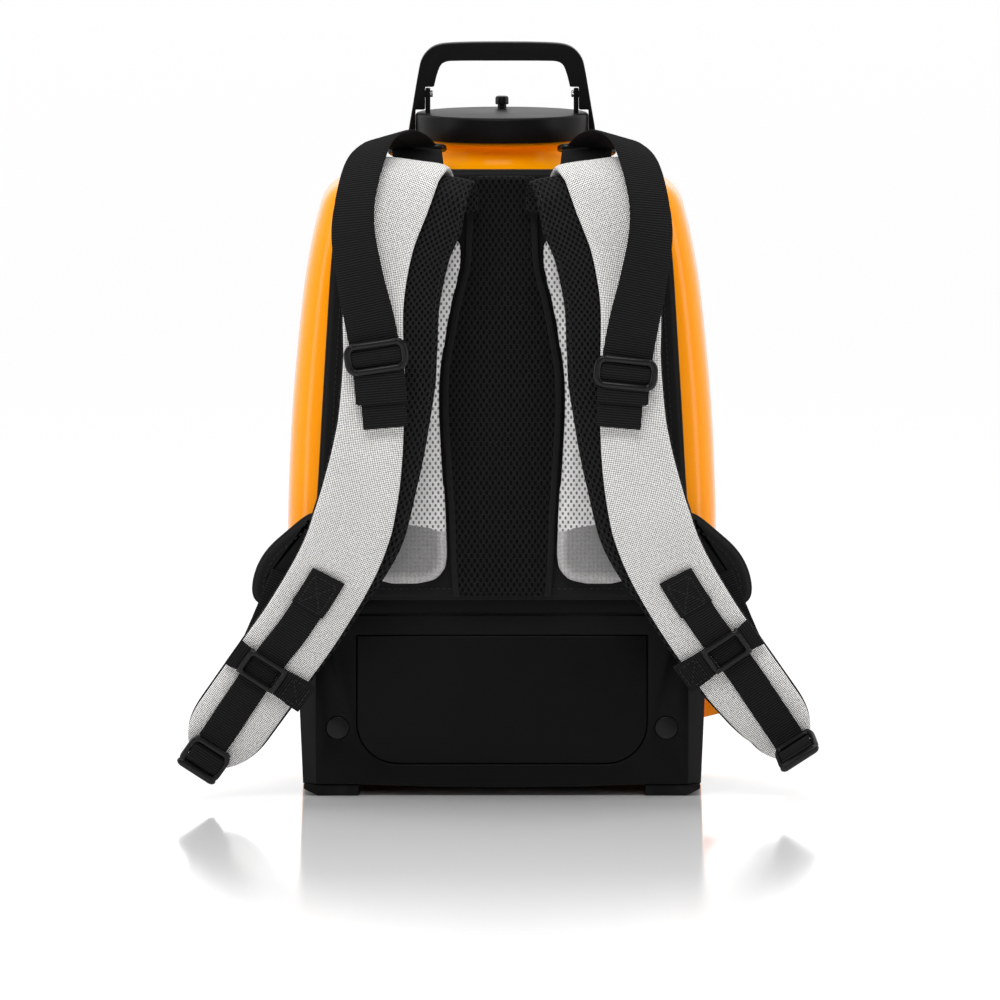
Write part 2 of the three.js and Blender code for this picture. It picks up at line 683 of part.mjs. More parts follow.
// Middle surface of the right load lifter webbing, from its anchor to its loose tail.
const lifterPoints = [
  [68, -34, 493], [77, -58, 501], [88, -88, 504], [100, -117, 496], [109, -139, 471],
  [112.8, -151, 440], [107, -157.5, 400], [99.8, -158, 368], [94.5, -157, 338],
  [91, -156, 300], [90, -155.5, 288],
];
const lifterRoll = steppedValue([[0, 0], [0.15, 14], [0.3, 30], [0.45, 36], [0.62, 22], [0.76, 0]]);

const ladderLockTilt = THREE.MathUtils.degToRad(68);   // the right one hangs turned edge-on
const sliderPlay = 1.5;          // beside the webbing, for its bends
const ladderLockPivot = 11.5;    // its upper bar, from its middle
const ladderLockAside = { left: 2, right: 6 };   // outwards from the strap's middle line

// A frame's matrix, for pieces drawn flat: x across, y along, z outwards.
function seat(route, t, sideways, lift) {
  const { centre, along, out, across } = route.frame(t);
  centre.addScaledVector(across, sideways * route.side).addScaledVector(out, lift);
  return new THREE.Matrix4().makeBasis(across, along, out).setPosition(centre);
}

function addSeated(name, geometry, matrix, finishName) {
  const mesh = add(name, geometry, finishName);
  mesh.applyMatrix4(matrix);
}

// A flat buckle frame with one or two slots, drawn about its centre.
function buckle(width, length, thickness, bars) {
  const outline = roundedRectangle([-width / 2, width / 2], [-length / 2, length / 2], 4);
  const frame = plateXY(outline, [0, thickness], 3);
  const border = 4;
  const slotLength = (length - border * (bars + 1)) / bars;
  const slots = Array.from({ length: bars }, (_, i) => {
    const start = -length / 2 + border + i * (slotLength + border);
    return block([-width / 2 + border, width / 2 - border], [start, start + slotLength],
      [-1, thickness + 1]);
  });
  return cut(frame, ...slots);
}

function addStrap(side) {
  const word = side < 0 ? 'left' : 'right';
  const route = new Route(strapPoints, side, strapRoll);
  add(`shoulder_strap_${word}`, bentBand(route, {
    span: [0, strapEnd], faces: [layerGap / 2, strapOuter], width: strapWidth, steps: 36,
  }), 'greyFabric');
  add(`strap_lining_${word}`, bentBand(route, {
    span: [0, strapEnd],
    faces: [-strapInner, -layerGap / 2],
    width: (t) => strapWidth(t) + liningReach(t),
    shift: (t) => liningReach(t) / 2,
    steps: 36,
  }), 'meshFabric');

  const webFaces = [strapOuter + gap, strapOuter + gap + webThickness];
  add(`lower_webbing_${word}`, bentBand(route, {
    span: lowerWebSpan, faces: webFaces, width: () => lowerWebWidth,
    shift: (t) => -lowerWebAside(t), steps: 10,
  }), 'webbing');

  const lifter = new Route(lifterPoints, side, lifterRoll);
  add(`lifter_webbing_${word}`, bentBand(lifter, {
    span: [0, 1], faces: [-webThickness / 2, webThickness / 2], width: () => lifterWidth,
    steps: 24,
  }), 'webbing');

  addSeated(`tri_glide_${word}`, buckle(49, 24, 4.5, 2),
    seat(lifter, side < 0 ? 0.825 : 0.865, 0, webThickness / 2 + gap), 'trimBlack');
  addSeated(`anchor_loop_${word}`, buckle(46, 14, 4, 1), seat(lifter, -0.035, 0, -2), 'trimBlack');
  const lock = buckle(35, 27, 5, 2).translate(0, ladderLockPivot, 0)
    .rotateX(side < 0 ? 0 : ladderLockTilt)
    .translate(0, -ladderLockPivot, 0);
  const lockSeat = seat(route, 1, -ladderLockAside[word], strapOuter + gap);
  addSeated(`ladder_lock_${word}`, lock, lockSeat, 'trimBlack');
  addChestSlider(route, word);
  addReturnWeb(side, word);
}

// Slides on the lower webbing: a channel over it, with a short tail of chest webbing.
function addChestSlider(route, word) {
  const channelHalf = lowerWebWidth / 2 + sliderPlay;
  const reach = lowerWebWidth / 2 + 4.6;
  const height = webThickness + 5;
  const body = block([-reach, reach], [-11, 11], [0, height]);
  const channel = block([-channelHalf, channelHalf], [-12, 12], [-1, webThickness + 1.1]);
  const window = block([-lowerWebWidth / 2, lowerWebWidth / 2], [-7, 7], [0, height + 1]);
  const outer = [-route.side * reach, -route.side * (reach + 10)].sort((a, b) => a - b);
  const keeper = block([outer[0] - 0.5, outer[1] + 0.5], [-13, 13], [0.5, height - 0.5]);
  const at = chestSliderAt[word];
  const place = seat(route, at, -lowerWebAside(at), strapOuter + gap);
  addSeated(`chest_slider_${word}`, join(cut(body, channel, window), keeper), place, 'trimBlack');

  const inner = [route.side * (reach + gap), route.side * (reach + 24)].sort((a, b) => a - b);
  const tail = block(inner, [-12, 12], [0.6, 0.6 + webThickness]);
  addSeated(`chest_tail_${word}`, tail, place, 'webbing');
}

// The webbing from the ladder lock back up behind the strap to the board's wing.
function addReturnWeb(side, word) {
  const route = new Route([[163, -80, 170], [185, -80.5, 118], [208, -82.5, 72], [221, -84.5, 46]],
    side);
  add(`return_webbing_${word}`, bentBand(route, {
    span: [0, 1], faces: [0, webThickness], width: () => lowerWebWidth, steps: 6,
  }), 'webbing');
}

addBackPanel();
sides.forEach(addStrap);

export default machine;
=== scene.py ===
"""Backpack vacuum cleaner: the looks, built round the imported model. Metres, in its frame:
+Z up, the harness faces -Y. Lengths written with MM are millimetres."""

import json
import math

import bmesh
import bpy
import numpy as np
from mathutils import Matrix, Vector


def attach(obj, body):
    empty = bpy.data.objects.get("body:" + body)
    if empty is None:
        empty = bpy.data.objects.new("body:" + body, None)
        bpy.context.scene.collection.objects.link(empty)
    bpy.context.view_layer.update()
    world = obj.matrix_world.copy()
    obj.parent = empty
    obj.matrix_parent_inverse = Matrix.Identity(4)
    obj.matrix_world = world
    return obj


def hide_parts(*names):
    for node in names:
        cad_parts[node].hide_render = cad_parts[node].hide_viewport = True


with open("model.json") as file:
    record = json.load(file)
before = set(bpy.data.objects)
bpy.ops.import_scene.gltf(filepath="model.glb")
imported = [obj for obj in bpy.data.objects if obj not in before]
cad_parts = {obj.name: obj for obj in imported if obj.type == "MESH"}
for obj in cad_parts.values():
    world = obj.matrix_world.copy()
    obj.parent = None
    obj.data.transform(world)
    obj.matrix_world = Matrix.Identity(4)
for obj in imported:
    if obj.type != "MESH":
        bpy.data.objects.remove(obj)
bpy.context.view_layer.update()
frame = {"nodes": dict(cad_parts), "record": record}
nodes = frame["nodes"]

MM = 0.001
SIDES = {"left": -1, "right": 1}


# ------------------------------------------------------------------ camera and studio

def add_camera():
    """A long lens a little above the machine, looking at its harness."""
    elevation = math.radians(4.7)
    distance = 24.0
    frame_width = 0.760          # seen at the front of the base
    aim = Vector((-0.0015, -0.060, 0.2257))
    data = bpy.data.cameras.new("camera")
    data.sensor_width = 36
    data.lens = 36 * distance / frame_width
    data.clip_end = 200
    camera = bpy.data.objects.new("camera", data)
    offset = Vector((0, -math.cos(elevation), math.sin(elevation))) * distance
    camera.location = aim + offset
    camera.rotation_euler = (-offset).to_track_quat("-Z", "Y").to_euler()
    bpy.context.collection.objects.link(camera)
    bpy.context.scene.camera = camera


def add_area(name, place, target, size, power):
    data = bpy.data.lights.new(name, "AREA")
    data.shape = "RECTANGLE"
    data.size, data.size_y = size
    data.energy = power
    light = bpy.data.objects.new(name, data)
    light.location = place
    direction = Vector(target) - Vector(place)
    light.rotation_euler = direction.to_track_quat("-Z", "Y").to_euler()
    bpy.context.collection.objects.link(light)


def add_world():
    """White surroundings behind and beside the machine, dim where the camera stands."""
    world = bpy.data.worlds.new("studio")
    world.use_nodes = True
    tree = world.node_tree
    direction = tree.nodes.new("ShaderNodeTexCoord").outputs["Generated"]
    apart = tree.nodes.new("ShaderNodeSeparateXYZ")
    tree.links.new(direction, apart.inputs[0])
    shade = tree.nodes.new("ShaderNodeMapRange")
    shade.interpolation_type = "SMOOTHSTEP"
    limits = {"From Min": -0.75, "From Max": 0.35, "To Min": 0.07, "To Max": 1.15}
    for key, value in limits.items():
        shade.inputs[key].default_value = value
    tree.links.new(apart.outputs["Y"], shade.inputs["Value"])
    background = tree.nodes["Background"]
    background.inputs["Color"].default_value = (1, 1, 1, 1)
    tree.links.new(shade.outputs["Result"], background.inputs["Strength"])
    bpy.context.scene.world = world


def add_studio():
    """Tall soft boxes at both sides, a broad one high in front, and a glossy pale floor."""
    add_world()
    middle = (0, 0, 0.3)
    add_area("left_box", (-1.7, -0.5, 0.6), middle, (0.4, 1.8), 9)
    add_area("right_box", (1.7, -0.5, 0.6), middle, (0.4, 1.8), 9)
    add_area("front_box", (-0.3, -2.2, 2.3), middle, (2.0, 1.0), 54)
    add_area("top_box", (0.0, 0.2, 2.2), middle, (1.6, 1.2), 14)
    bpy.context.scene.view_settings.view_transform = "Standard"

    mesh = bpy.data.meshes.new("floor")
    half = 120.0
    corners = [(-half, -half, 0), (half, -half, 0), (half, half, 0), (-half, half, 0)]
    mesh.from_pydata(corners, [], [(0, 1, 2, 3)])
    floor = bpy.data.objects.new("floor", mesh)
    bpy.context.collection.objects.link(floor)
    mesh.materials.append(floor_material())


# ------------------------------------------------------------------ material helpers

class Material:
    """A Principled material and short names for the nodes that feed it."""

    def __init__(self, name, **fixed):
        self.data = bpy.data.materials.new(name)
        self.data.use_nodes = True
        self.tree = self.data.node_tree
        self.shader = self.tree.nodes["Principled BSDF"]
        for key, value in fixed.items():
            self.shader.inputs[key.replace("_", " ")].default_value = value

    def node(self, kind, **inputs):
        made = self.tree.nodes.new(kind)
        for key, value in inputs.items():
            self.feed(made.inputs[key.replace("_", " ")], value)
        return made

    def feed(self, socket, value):
        if isinstance(value, bpy.types.NodeSocket):
            self.tree.links.new(value, socket)
        else:
            socket.default_value = value

    def math(self, operation, *values):
        made = self.tree.nodes.new("ShaderNodeMath")
        made.operation = operation
        for socket, value in zip(made.inputs, values):
            self.feed(socket, value)
        return made.outputs[0]

    def ramp(self, value, low, high):
        """0 below low, 1 above high, smooth between."""
        made = self.node("ShaderNodeMapRange", Value=value, From_Min=low, From_Max=high)
        made.interpolation_type = "SMOOTHSTEP"
        return made.outputs["Result"]

    def span(self, value, low, high):
        """Takes 0..1 to low..high."""
        made = self.node("ShaderNodeMapRange", Value=value, To_Min=low, To_Max=high)
        return made.outputs["Result"]

    def mix(self, share, first, second):
        made = self.tree.nodes.new("ShaderNodeMix")
        made.data_type = "RGBA"
        self.feed(made.inputs[0], share)
        self.feed(made.inputs[6], first)
        self.feed(made.inputs[7], second)
        return made.outputs[2]

    def plane(self, source, first, second):
        """Two coordinates in metres: from the "UV" map, or two axes of "Object" space."""
        place = self.tree.nodes.new("ShaderNodeTexCoord").outputs[source]
        apart = self.node("ShaderNodeSeparateXYZ", Vector=place)
        return apart.outputs[first], apart.outputs[second]

    def wave(self, value, pitch):
        """Cosine of a coordinate, one cycle for each pitch."""
        return self.math("COSINE", self.math("MULTIPLY", value, 2 * math.pi / pitch))

    def noise(self, scale, detail=2.0, source="Object"):
        place = self.tree.nodes.new("ShaderNodeTexCoord").outputs[source]
        made = self.node("ShaderNodeTexNoise", Vector=place, Scale=scale, Detail=detail)
        return made.outputs["Fac"]

    def bump(self, height, distance, strength=1.0, over=None):
        made = self.node("ShaderNodeBump", Height=height, Distance=distance, Strength=strength)
        if over is not None:
            self.feed(made.inputs["Normal"], over)
        self.feed(self.shader.inputs["Normal"], made.outputs["Normal"])
        return made.outputs["Normal"]

    def colour(self, value):
        self.feed(self.shader.inputs["Base Color"], value)

    def roughness(self, value):
        self.feed(self.shader.inputs["Roughness"], value)


def grey(value):
    return (value, value, value, 1)


def dimmed(colour, share):
    return tuple(share * c for c in colour[:3]) + (1,)


# ------------------------------------------------------------------ materials

def floor_material():
    """White and glossy under the machine, duller further in front of it."""
    made = Material("floor", IOR=1.4)
    _, depth = made.plane("Object", "X", "Y")
    made.colour(grey(0.9))
    made.roughness(made.span(made.ramp(depth, -1.9, -0.1), 0.42, 0.04))
    return made.data


def orange_plastic(name, deep, bright, shine, coat):
    """Moulded plastic with the faint ripple of a large moulding."""
    made = Material(name, Specular_IOR_Level=shine, Coat_Weight=coat, Coat_Roughness=0.05)
    made.colour(made.mix(made.noise(9.0), deep, bright))
    made.roughness(made.span(made.noise(240.0), 0.13, 0.24))
    made.bump(made.noise(34.0, 3.0), 0.0006, 0.25)
    return made.data


def moulded_black(name, tone, shine, low, high, grain):
    """Satin moulded plastic: a fine spark-eroded grain, rubbed smoother here and there."""
    made = Material(name, Specular_IOR_Level=shine)
    worn = made.noise(14.0, 4.0)
    made.colour(made.mix(worn, grey(tone * 0.8), grey(tone * 1.25)))
    made.roughness(made.span(worn, low, high))
    made.bump(made.noise(1500.0, 1.0), grain)
    return made.data


def rubber():
    made = Material("rubber", Roughness=0.8, Specular_IOR_Level=0.12)
    dust = made.ramp(made.noise(60.0, 4.0), 0.45, 0.75)
    made.colour(made.mix(dust, grey(0.005), grey(0.011)))
    made.bump(made.noise(900.0), 0.0002)
    return made.data


def brushed(name, tone, pitch):
    """Turned metal with fine rings along the axis."""
    made = Material(name, Metallic=1.0)
    _, height = made.plane("Object", "X", "Z")
    rings = made.wave(height, pitch)
    made.colour(made.mix(made.noise(40.0), tone, dimmed(tone, 0.75)))
    made.roughness(made.span(rings, 0.25, 0.4))
    made.bump(rings, 0.00004)
    return made.data


def ballistic_weave(name, source, axes, light, pore_shade, pitch, hem=None):
    """Coarse diagonal weave: raised pale yarns, with painted shade in the pores between them.
    With a hem colour, the yarns turn to it where the mesh's "hem" attribute rises."""
    made = Material(name, Roughness=0.82, Sheen_Weight=0.25)
    across, along = made.plane(source, *axes)
    rising = made.math("ADD", across, along)
    falling = made.math("SUBTRACT", across, along)
    checker = made.math("MULTIPLY", made.wave(rising, pitch), made.wave(falling, pitch))
    yarn = made.wave(across, pitch / 4.0)
    worn = made.span(made.noise(700.0, 2.0, source), -0.55, 0.55)
    raised = made.ramp(made.math("ADD", checker, worn), -0.62, 0.3)
    uneven = made.span(made.noise(420.0, 2.0, source), 0.8, 1.15)
    shade = made.math("MULTIPLY", raised, uneven)
    soiling = made.ramp(made.noise(11.0, 3.0), 0.3, 0.8)
    pale = made.mix(soiling, light, dimmed(light, 0.9))
    if hem:
        rim = made.node("ShaderNodeAttribute")
        rim.attribute_name = "hem"
        pale = made.mix(rim.outputs["Fac"], pale, hem)
    # the low parts between the raised yarns get painted shade, not a colour of their own
    made.colour(made.mix(shade, pore_shade, pale))
    made.bump(made.math("MULTIPLY_ADD", yarn, 0.15, raised), 0.00035, 0.8)
    return made.data


def spacer_mesh(name, source, axes, face, hole_shade, pitch, open_share, depth=0.0007):
    """Open knitted mesh: staggered holes filled with painted shade, between smooth rounded yarns
    painted lighter on their crests.
    """
    made = Material(name, Roughness=0.78, Specular_IOR_Level=0.08, Sheen_Weight=0.02)
    across, along = made.plane(source, *axes)
    lattice = made.math("MULTIPLY", made.wave(across, pitch[0]), made.wave(along, pitch[1]))
    gap = made.ramp(lattice, open_share, open_share + 0.3)
    knit = made.math("MULTIPLY", made.wave(across, pitch[0] / 6), made.wave(along, pitch[1] / 6))
    tone = made.span(made.noise(160.0, 3.0, source), 0.8, 1.15)
    lit = made.mix(made.ramp(knit, -1.0, 1.0), dimmed(face, 0.82), face)
    shaded = made.node("ShaderNodeHueSaturation", Color=lit, Value=tone).outputs["Color"]
    # the holes are real openings; the colour given to them is painted shade
    made.colour(made.mix(gap, shaded, hole_shade))
    solid = made.math("SUBTRACT", 1.0, gap)
    made.bump(made.math("MULTIPLY_ADD", knit, 0.06, solid), depth, 0.9)
    return made.data


def ribbed_webbing():
    """Woven polypropylene tape: ribs across it, painted lighter on their crests and darker between
    them, with a soft sheen.
    """
    made = Material("webbing", Roughness=0.6, Specular_IOR_Level=0.0, Sheen_Weight=0.02)
    rib = 1.9 * MM
    across, along = made.plane("UV", "X", "Y")
    ribs = made.wave(along, rib)
    yarn = made.wave(across, rib * 0.6)
    # painted highlight on the ribs' crests and painted shade between them
    made.colour(made.mix(made.ramp(ribs, -1.0, 1.0), grey(0.008), grey(0.018)))
    made.bump(made.math("MULTIPLY_ADD", yarn, 0.25, ribs), 0.00025, 1.0)
    return made.data


def plain_cloth(name, tone):
    """Smooth binding tape and piping, with a fine plain weave."""
    made = Material(name, Roughness=0.7, Specular_IOR_Level=0.08, Sheen_Weight=0.02)
    made.colour(made.mix(made.noise(220.0, 3.0), grey(tone * 0.8), grey(tone * 1.2)))
    made.bump(made.noise(1800.0), 0.0001, 0.6)
    return made.data


def board_cloth():
    """Black laminated cloth: nearly smooth, with a fine weave and soft creases."""
    made = Material("board_cloth", Specular_IOR_Level=0.1, Sheen_Weight=0.01)
    made.colour(made.mix(made.noise(18.0, 4.0), grey(0.005), grey(0.009)))
    made.roughness(made.span(made.noise(30.0, 3.0), 0.5, 0.68))
    creased = made.bump(made.noise(42.0, 3.0), 0.0015, 0.25)
    made.bump(made.noise(1500.0), 0.00012, 0.6, creased)
    return made.data


def filter_paper():
    made = Material("filter_paper", Roughness=0.9)
    fibres = made.noise(300.0, 6.0)
    made.colour(made.mix(fibres, (0.62, 0.56, 0.44, 1), (0.82, 0.78, 0.68, 1)))
    made.bump(fibres, 0.0004, 0.6)
    return made.data


def circuit():
    made = Material("circuit", Roughness=0.4)
    tracks = made.ramp(made.noise(90.0, 1.0), 0.48, 0.52)
    made.colour(made.mix(tracks, (0.02, 0.1, 0.04, 1), (0.05, 0.2, 0.08, 1)))
    made.bump(tracks, 0.0001)
    return made.data


LOOKS = {
    "orange": orange_plastic("gloss_orange", (0.96, 0.29, 0.0, 1), (1.0, 0.33, 0.0, 1),
                             0.16, 0.08),
    "neck": orange_plastic("neck_orange", (0.88, 0.37, 0.0, 1), (0.95, 0.4, 0.0, 1), 0.05, 0.0),
    "housing": moulded_black("housing_black", 0.0045, 0.08, 0.3, 0.44, 0.00006),
    "lid": moulded_black("lid_black", 0.003, 0.1, 0.34, 0.5, 0.00003),
    "trim": moulded_black("trim_black", 0.005, 0.22, 0.24, 0.36, 0.00003),
    "rubber": rubber(),
    "steel": brushed("steel", (0.6, 0.61, 0.63, 1), 0.5 * MM),
    "copper": brushed("copper", (0.6, 0.34, 0.2, 1), 0.9 * MM),
    "weave": ballistic_weave("grey_weave", "UV", ("X", "Y"), (0.97, 0.955, 0.935, 1),
                             (0.06, 0.058, 0.058, 1), 2.7 * MM),
    "pad_mesh": spacer_mesh("grey_mesh", "Object", ("X", "Z"), (0.82, 0.81, 0.8, 1),
                            grey(0.17), (4.2 * MM, 6.4 * MM), 0.24),
    "pad_patch": ballistic_weave("patch_weave", "Object", ("X", "Z"), (0.36, 0.355, 0.35, 1),
                                 grey(0.09), 2.0 * MM, (0.72, 0.71, 0.7, 1)),
    "mesh": spacer_mesh("black_mesh", "Object", ("X", "Z"), grey(0.009), grey(0.0002),
                        (4.6 * MM, 7.4 * MM), -0.02, 0.0012),
    "lining": spacer_mesh("black_lining", "UV", ("X", "Y"), grey(0.0145), grey(0.0002),
                          (4.4 * MM, 6.6 * MM), 0.0, 0.0012),
    "webbing": ribbed_webbing(),
    "board": board_cloth(),
    "binding": plain_cloth("binding", 0.009),
    "thread": plain_cloth("thread", 0.022),
    "paper": filter_paper(),
    "circuit": circuit(),
}


# ------------------------------------------------------------------ mesh helpers

def smooth_step(start, end, value):
    """0 up to start, 1 from end on, smooth between; start may be the greater."""
    share = min(1.0, max(0.0, (value - start) / (end - start)))
    return share * share * (3 - 2 * share)


def soften(node, width):
    """Rounds the hard edges of a CAD node and evens its shading, with modifiers."""
    weld = node.modifiers.new("weld", "WELD")
    weld.merge_threshold = 0.01 * MM
    flat = node.modifiers.new("flat", "DECIMATE")
    flat.decimate_type = "DISSOLVE"
    flat.angle_limit = math.radians(1.0)
    bevel = node.modifiers.new("bevel", "BEVEL")
    bevel.width = width
    bevel.segments = 3
    bevel.limit_method = "ANGLE"
    bevel.angle_limit = math.radians(32)
    bevel.harden_normals = True
    bevel.use_clamp_overlap = True
    for face in node.data.polygons:
        face.use_smooth = True


def add_piece(name, points, faces, look, body="machine", stands_for=(), uvs=None, sharp=40):
    """A new visible piece: its mesh, finish, body, and the CAD nodes that it stands for."""
    mesh = bpy.data.meshes.new(name)
    mesh.from_pydata([tuple(p) for p in points], [], faces)
    if uvs is not None:
        layer = mesh.uv_layers.new(name="UVMap")
        for loop in mesh.loops:
            layer.data[loop.index].uv = uvs[loop.vertex_index]
    mesh.validate()
    shell = bmesh.new()
    shell.from_mesh(mesh)
    bmesh.ops.recalc_face_normals(shell, faces=shell.faces)
    shell.to_mesh(mesh)
    shell.free()
    mesh.shade_smooth()
    mesh.set_sharp_from_angle(angle=math.radians(sharp))
    mesh.materials.append(LOOKS[look])
    piece = bpy.data.objects.new(name, mesh)
    bpy.context.collection.objects.link(piece)
    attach(piece, body)
    if stands_for:
        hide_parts(*stands_for)
    return piece


def grid_faces(rows, columns):
    """Quads between closed rings of points."""
    faces = []
    for row in range(rows - 1):
        for column in range(columns):
            here = row * columns + column
            beside = row * columns + (column + 1) % columns
            faces.append((here, beside, beside + columns, here + columns))
    return faces


def lofted(rings):
    """A closed body through rings with the same number of points: its points and faces."""
    count = len(rings[0])
    points = [point for ring in rings for point in ring]
    faces = grid_faces(len(rings), count)
    faces.append(tuple(range(count)))
    faces.append(tuple(range(len(points) - count, len(points))))
    return points, faces


def looped(rings):
    """A ring-shaped body: its last ring of points meets the first."""
    points = [point for ring in rings for point in ring]
    faces = grid_faces(len(rings) + 1, len(rings[0]))
    return points, [tuple(corner % len(points) for corner in face) for face in faces]


def joined(*parts):
    """Several (points, faces) bodies as one."""
    points, faces = [], []
    for more, their_faces in parts:
        base = len(points)
        points += more
        faces += [tuple(corner + base for corner in face) for face in their_faces]
    return points, faces


def turned(profile, centre, steps):
    """A closed (radius, height) outline turned about an upright axis; millimetres."""
    rings = []
    for radius, height in profile:
        ring = []
        for i in range(steps):
            turn = 2 * math.pi * i / steps
            ring.append(Vector((centre[0] + radius * math.cos(turn),
                                centre[1] + radius * math.sin(turn), height)) * MM)
        rings.append(ring)
    return looped(rings)


def oval(count, half_width, half_height, power_across=1.0, power_up=1.0):
    """Points (across, up) round an oval; powers below 1 make its sides squarer."""
    ring = []
    for i in range(count):
        turn = 2 * math.pi * i / count
        c, s = math.cos(turn), math.sin(turn)
        ring.append((math.copysign(abs(c) ** power_across, c) * half_width,
                     math.copysign(abs(s) ** power_up, s) * half_height))
    return ring


def measured(points):
    """The length of a line of points, and a function that gives its point at a distance."""
    lengths = [(b - a).length for a, b in zip(points, points[1:])]
    reach = np.concatenate([[0.0], np.cumsum(lengths)])
    flat = np.array([tuple(point) for point in points])

    def at(distance):
        return Vector([float(np.interp(distance, reach, flat[:, k])) for k in range(3)])
    return float(reach[-1]), at


class Route:
    """A centripetal Catmull-Rom curve through given points, read by its length."""

    def __init__(self, points, side=1, roll=((0,), (0,)), fine=40):
        self.side = side
        self.roll = roll
        places = [Vector((x * side, y, z)) * MM for x, y, z in points]
        first = places[0] * 2 - places[1]
        last = places[-1] * 2 - places[-2]
        line = [first, *places, last]
        dots = [places[0]]
        for span in range(len(places) - 1):
            for step in range(1, fine + 1):
                dots.append(self._between(line[span:span + 4], step / fine))
        self.length, self.at = measured(dots)

    @staticmethod
    def _between(corner, share):
        knots = [0.0]
        for a, b in zip(corner, corner[1:]):
            knots.append(knots[-1] + max((b - a).length, 1e-9) ** 0.5)
        t = knots[1] + (knots[2] - knots[1]) * share

        def blend(a, b, t_a, t_b):
            return a * ((t_b - t) / (t_b - t_a)) + b * ((t - t_a) / (t_b - t_a))

        near = [blend(corner[i], corner[i + 1], knots[i], knots[i + 1]) for i in range(3)]
        wide = [blend(near[i], near[i + 1], knots[i], knots[i + 2]) for i in range(2)]
        return blend(wide[0], wide[1], knots[1], knots[2])

    def place(self, t):
        inside = min(max(t, 0.0), 1.0)
        return self.at(inside * self.length) + self.along(inside) * ((t - inside) * self.length)

    def along(self, t):
        low = max(t - 0.004, 0.0) * self.length
        high = min(t + 0.004, 1.0) * self.length
        return (self.at(high) - self.at(low)).normalized()

    def frame(self, t):
        """Place, direction, outward normal, and the sideways direction (+ to the wearer's
        middle on the right side)."""
        along = self.along(min(max(t, 0.0), 1.0))
        roll = math.radians(float(np.interp(t, *self.roll))) * -self.side
        out = Matrix.Rotation(roll, 3, along) @ along.cross(Vector((1, 0, 0))).normalized()
        return self.place(t), along, out, along.cross(out).normalized()


# ------------------------------------------------------------------ harness: routes

# Middle surface of the right shoulder strap, in millimetres, from the board's top edge down.
STRAP_TOP = [
    (62, -88, 446), (63.5, -93, 466), (65, -108, 479), (70, -124, 472), (79, -135, 452),
    (88, -140, 425), (95, -142, 384), (97, -141.5, 324), (100, -139.5, 284), (105, -137, 250),
    (114, -133, 212), (125, -128.5, 184),
]
STRAP_FOOT = [(151, -119.5, 139), (224, -95, 34)]
STRAP_POINTS = STRAP_TOP + [
    tuple(a + (b - a) * step / 4 for a, b in zip(*STRAP_FOOT)) for step in range(5)]
LIFTER_POINTS = [
    (68, -34, 493), (77, -58, 501), (88, -88, 504), (100, -117, 496), (109, -139, 471),
    (112.8, -151, 440), (107, -157.5, 400), (99.8, -158, 368), (94.5, -157, 338),
    (91, -156, 300), (90, -155.5, 288),
]
# degrees by which each band's outer edge is turned back, against t
STRAP_ROLL = ([0, 0.06, 0.12, 0.22], [0, -8, -6, 0])
LIFTER_ROLL = ([0, 0.15, 0.3, 0.45, 0.62, 0.76], [0, 14, 30, 36, 22, 0])
STRAPS = {word: Route(STRAP_POINTS, side, STRAP_ROLL) for word, side in SIDES.items()}
LIFTERS = {word: Route(LIFTER_POINTS, side, LIFTER_ROLL) for word, side in SIDES.items()}
STRAP_END = {"left": 1.012, "right": 0.998}    # the padding's foot, under the ladder lock
STRAP_FRONT = 9 * MM             # face of the padding, from the strap's middle surface
STRAP_BACK = -7.2 * MM           # face of the lining
LINING_MARGIN = 1.1 * MM         # of the lining, seen all round the padding
WEB_THICK = 2.4 * MM
LIFTER_WIDTH = 38 * MM
LOWER_WEB_WIDTH = 25 * MM
LOWER_WEB_START = 0.683          # where it is sewn to the padding, along the strap
# how far the lower webbing lies outwards from the strap's middle line, against t
LOWER_WEB_ASIDE = ([0.68, 0.85, 1], [2, 5.5, 3.5])
CHEST_SLIDER_AT = {"left": 0.847, "right": 0.811}
# width of the padding, and how far the lining shows past it towards the middle, against t
STRAP_WIDTH = ([0, 0.15, 0.27, 0.36, 0.46, 0.54, 0.6, 0.92, 0.97],
               [56, 59, 51, 47, 50, 57, 61, 59, 46])
LINING_REACH = ([0, 0.07, 0.11, 0.15, 0.25, 0.35, 0.46, 0.54, 0.62, 0.7, 1],
                [15, 19, 24, 28, 27, 25, 18, 12, 9, 2, 0])
# how far the padding's edge towards the middle is drawn in, against t
EDGE_DRAWN_IN = {
    "left": ([0, 0.05, 0.1, 0.2, 0.3, 0.4], [0, 1, 8, 7, 4, 0]),
    "right": ([0, 0.05, 0.1, 0.2, 0.3, 0.4, 0.86, 0.91, 0.95, 1], [0, 1, 8, 7, 4, 0, 0, 3, 6.5, 1]),
}


def strap_width(t):
    return float(np.interp(t, *STRAP_WIDTH)) * MM


def lining_reach(t):
    return float(np.interp(t, *LINING_REACH)) * MM


def web_aside(t):
    return float(np.interp(t, *LOWER_WEB_ASIDE)) * MM


def steps_between(first, last, count):
    return [first + (last - first) * i / count for i in range(count + 1)]


# ------------------------------------------------------------------ harness: bands

def rounded_section(half_width, low, high, count, squareness):
    """Points (sideways, lift) round a flat section with rolled edges."""
    middle, half = (low + high) / 2, (high - low) / 2
    return [(sideways, middle + rise)
            for sideways, rise in oval(count, half_width, half, 2 / squareness, 2 / 2.2)]


def reach_round(ring):
    """Each point's distance round a section from the middle of its outer face, so that a
    weave keeps its scale over the rolled edges; the seam lies at the back."""
    total = len(ring)
    top = total // 4
    reach = [0.0] * total
    for turn, steps in ((1, total // 2), (-1, total // 2 - 1)):
        for step in range(1, steps + 1):
            here, last = (top + turn * step) % total, (top + turn * (step - 1)) % total
            reach[here] = reach[last] - turn * math.dist(ring[here], ring[last])
    return reach


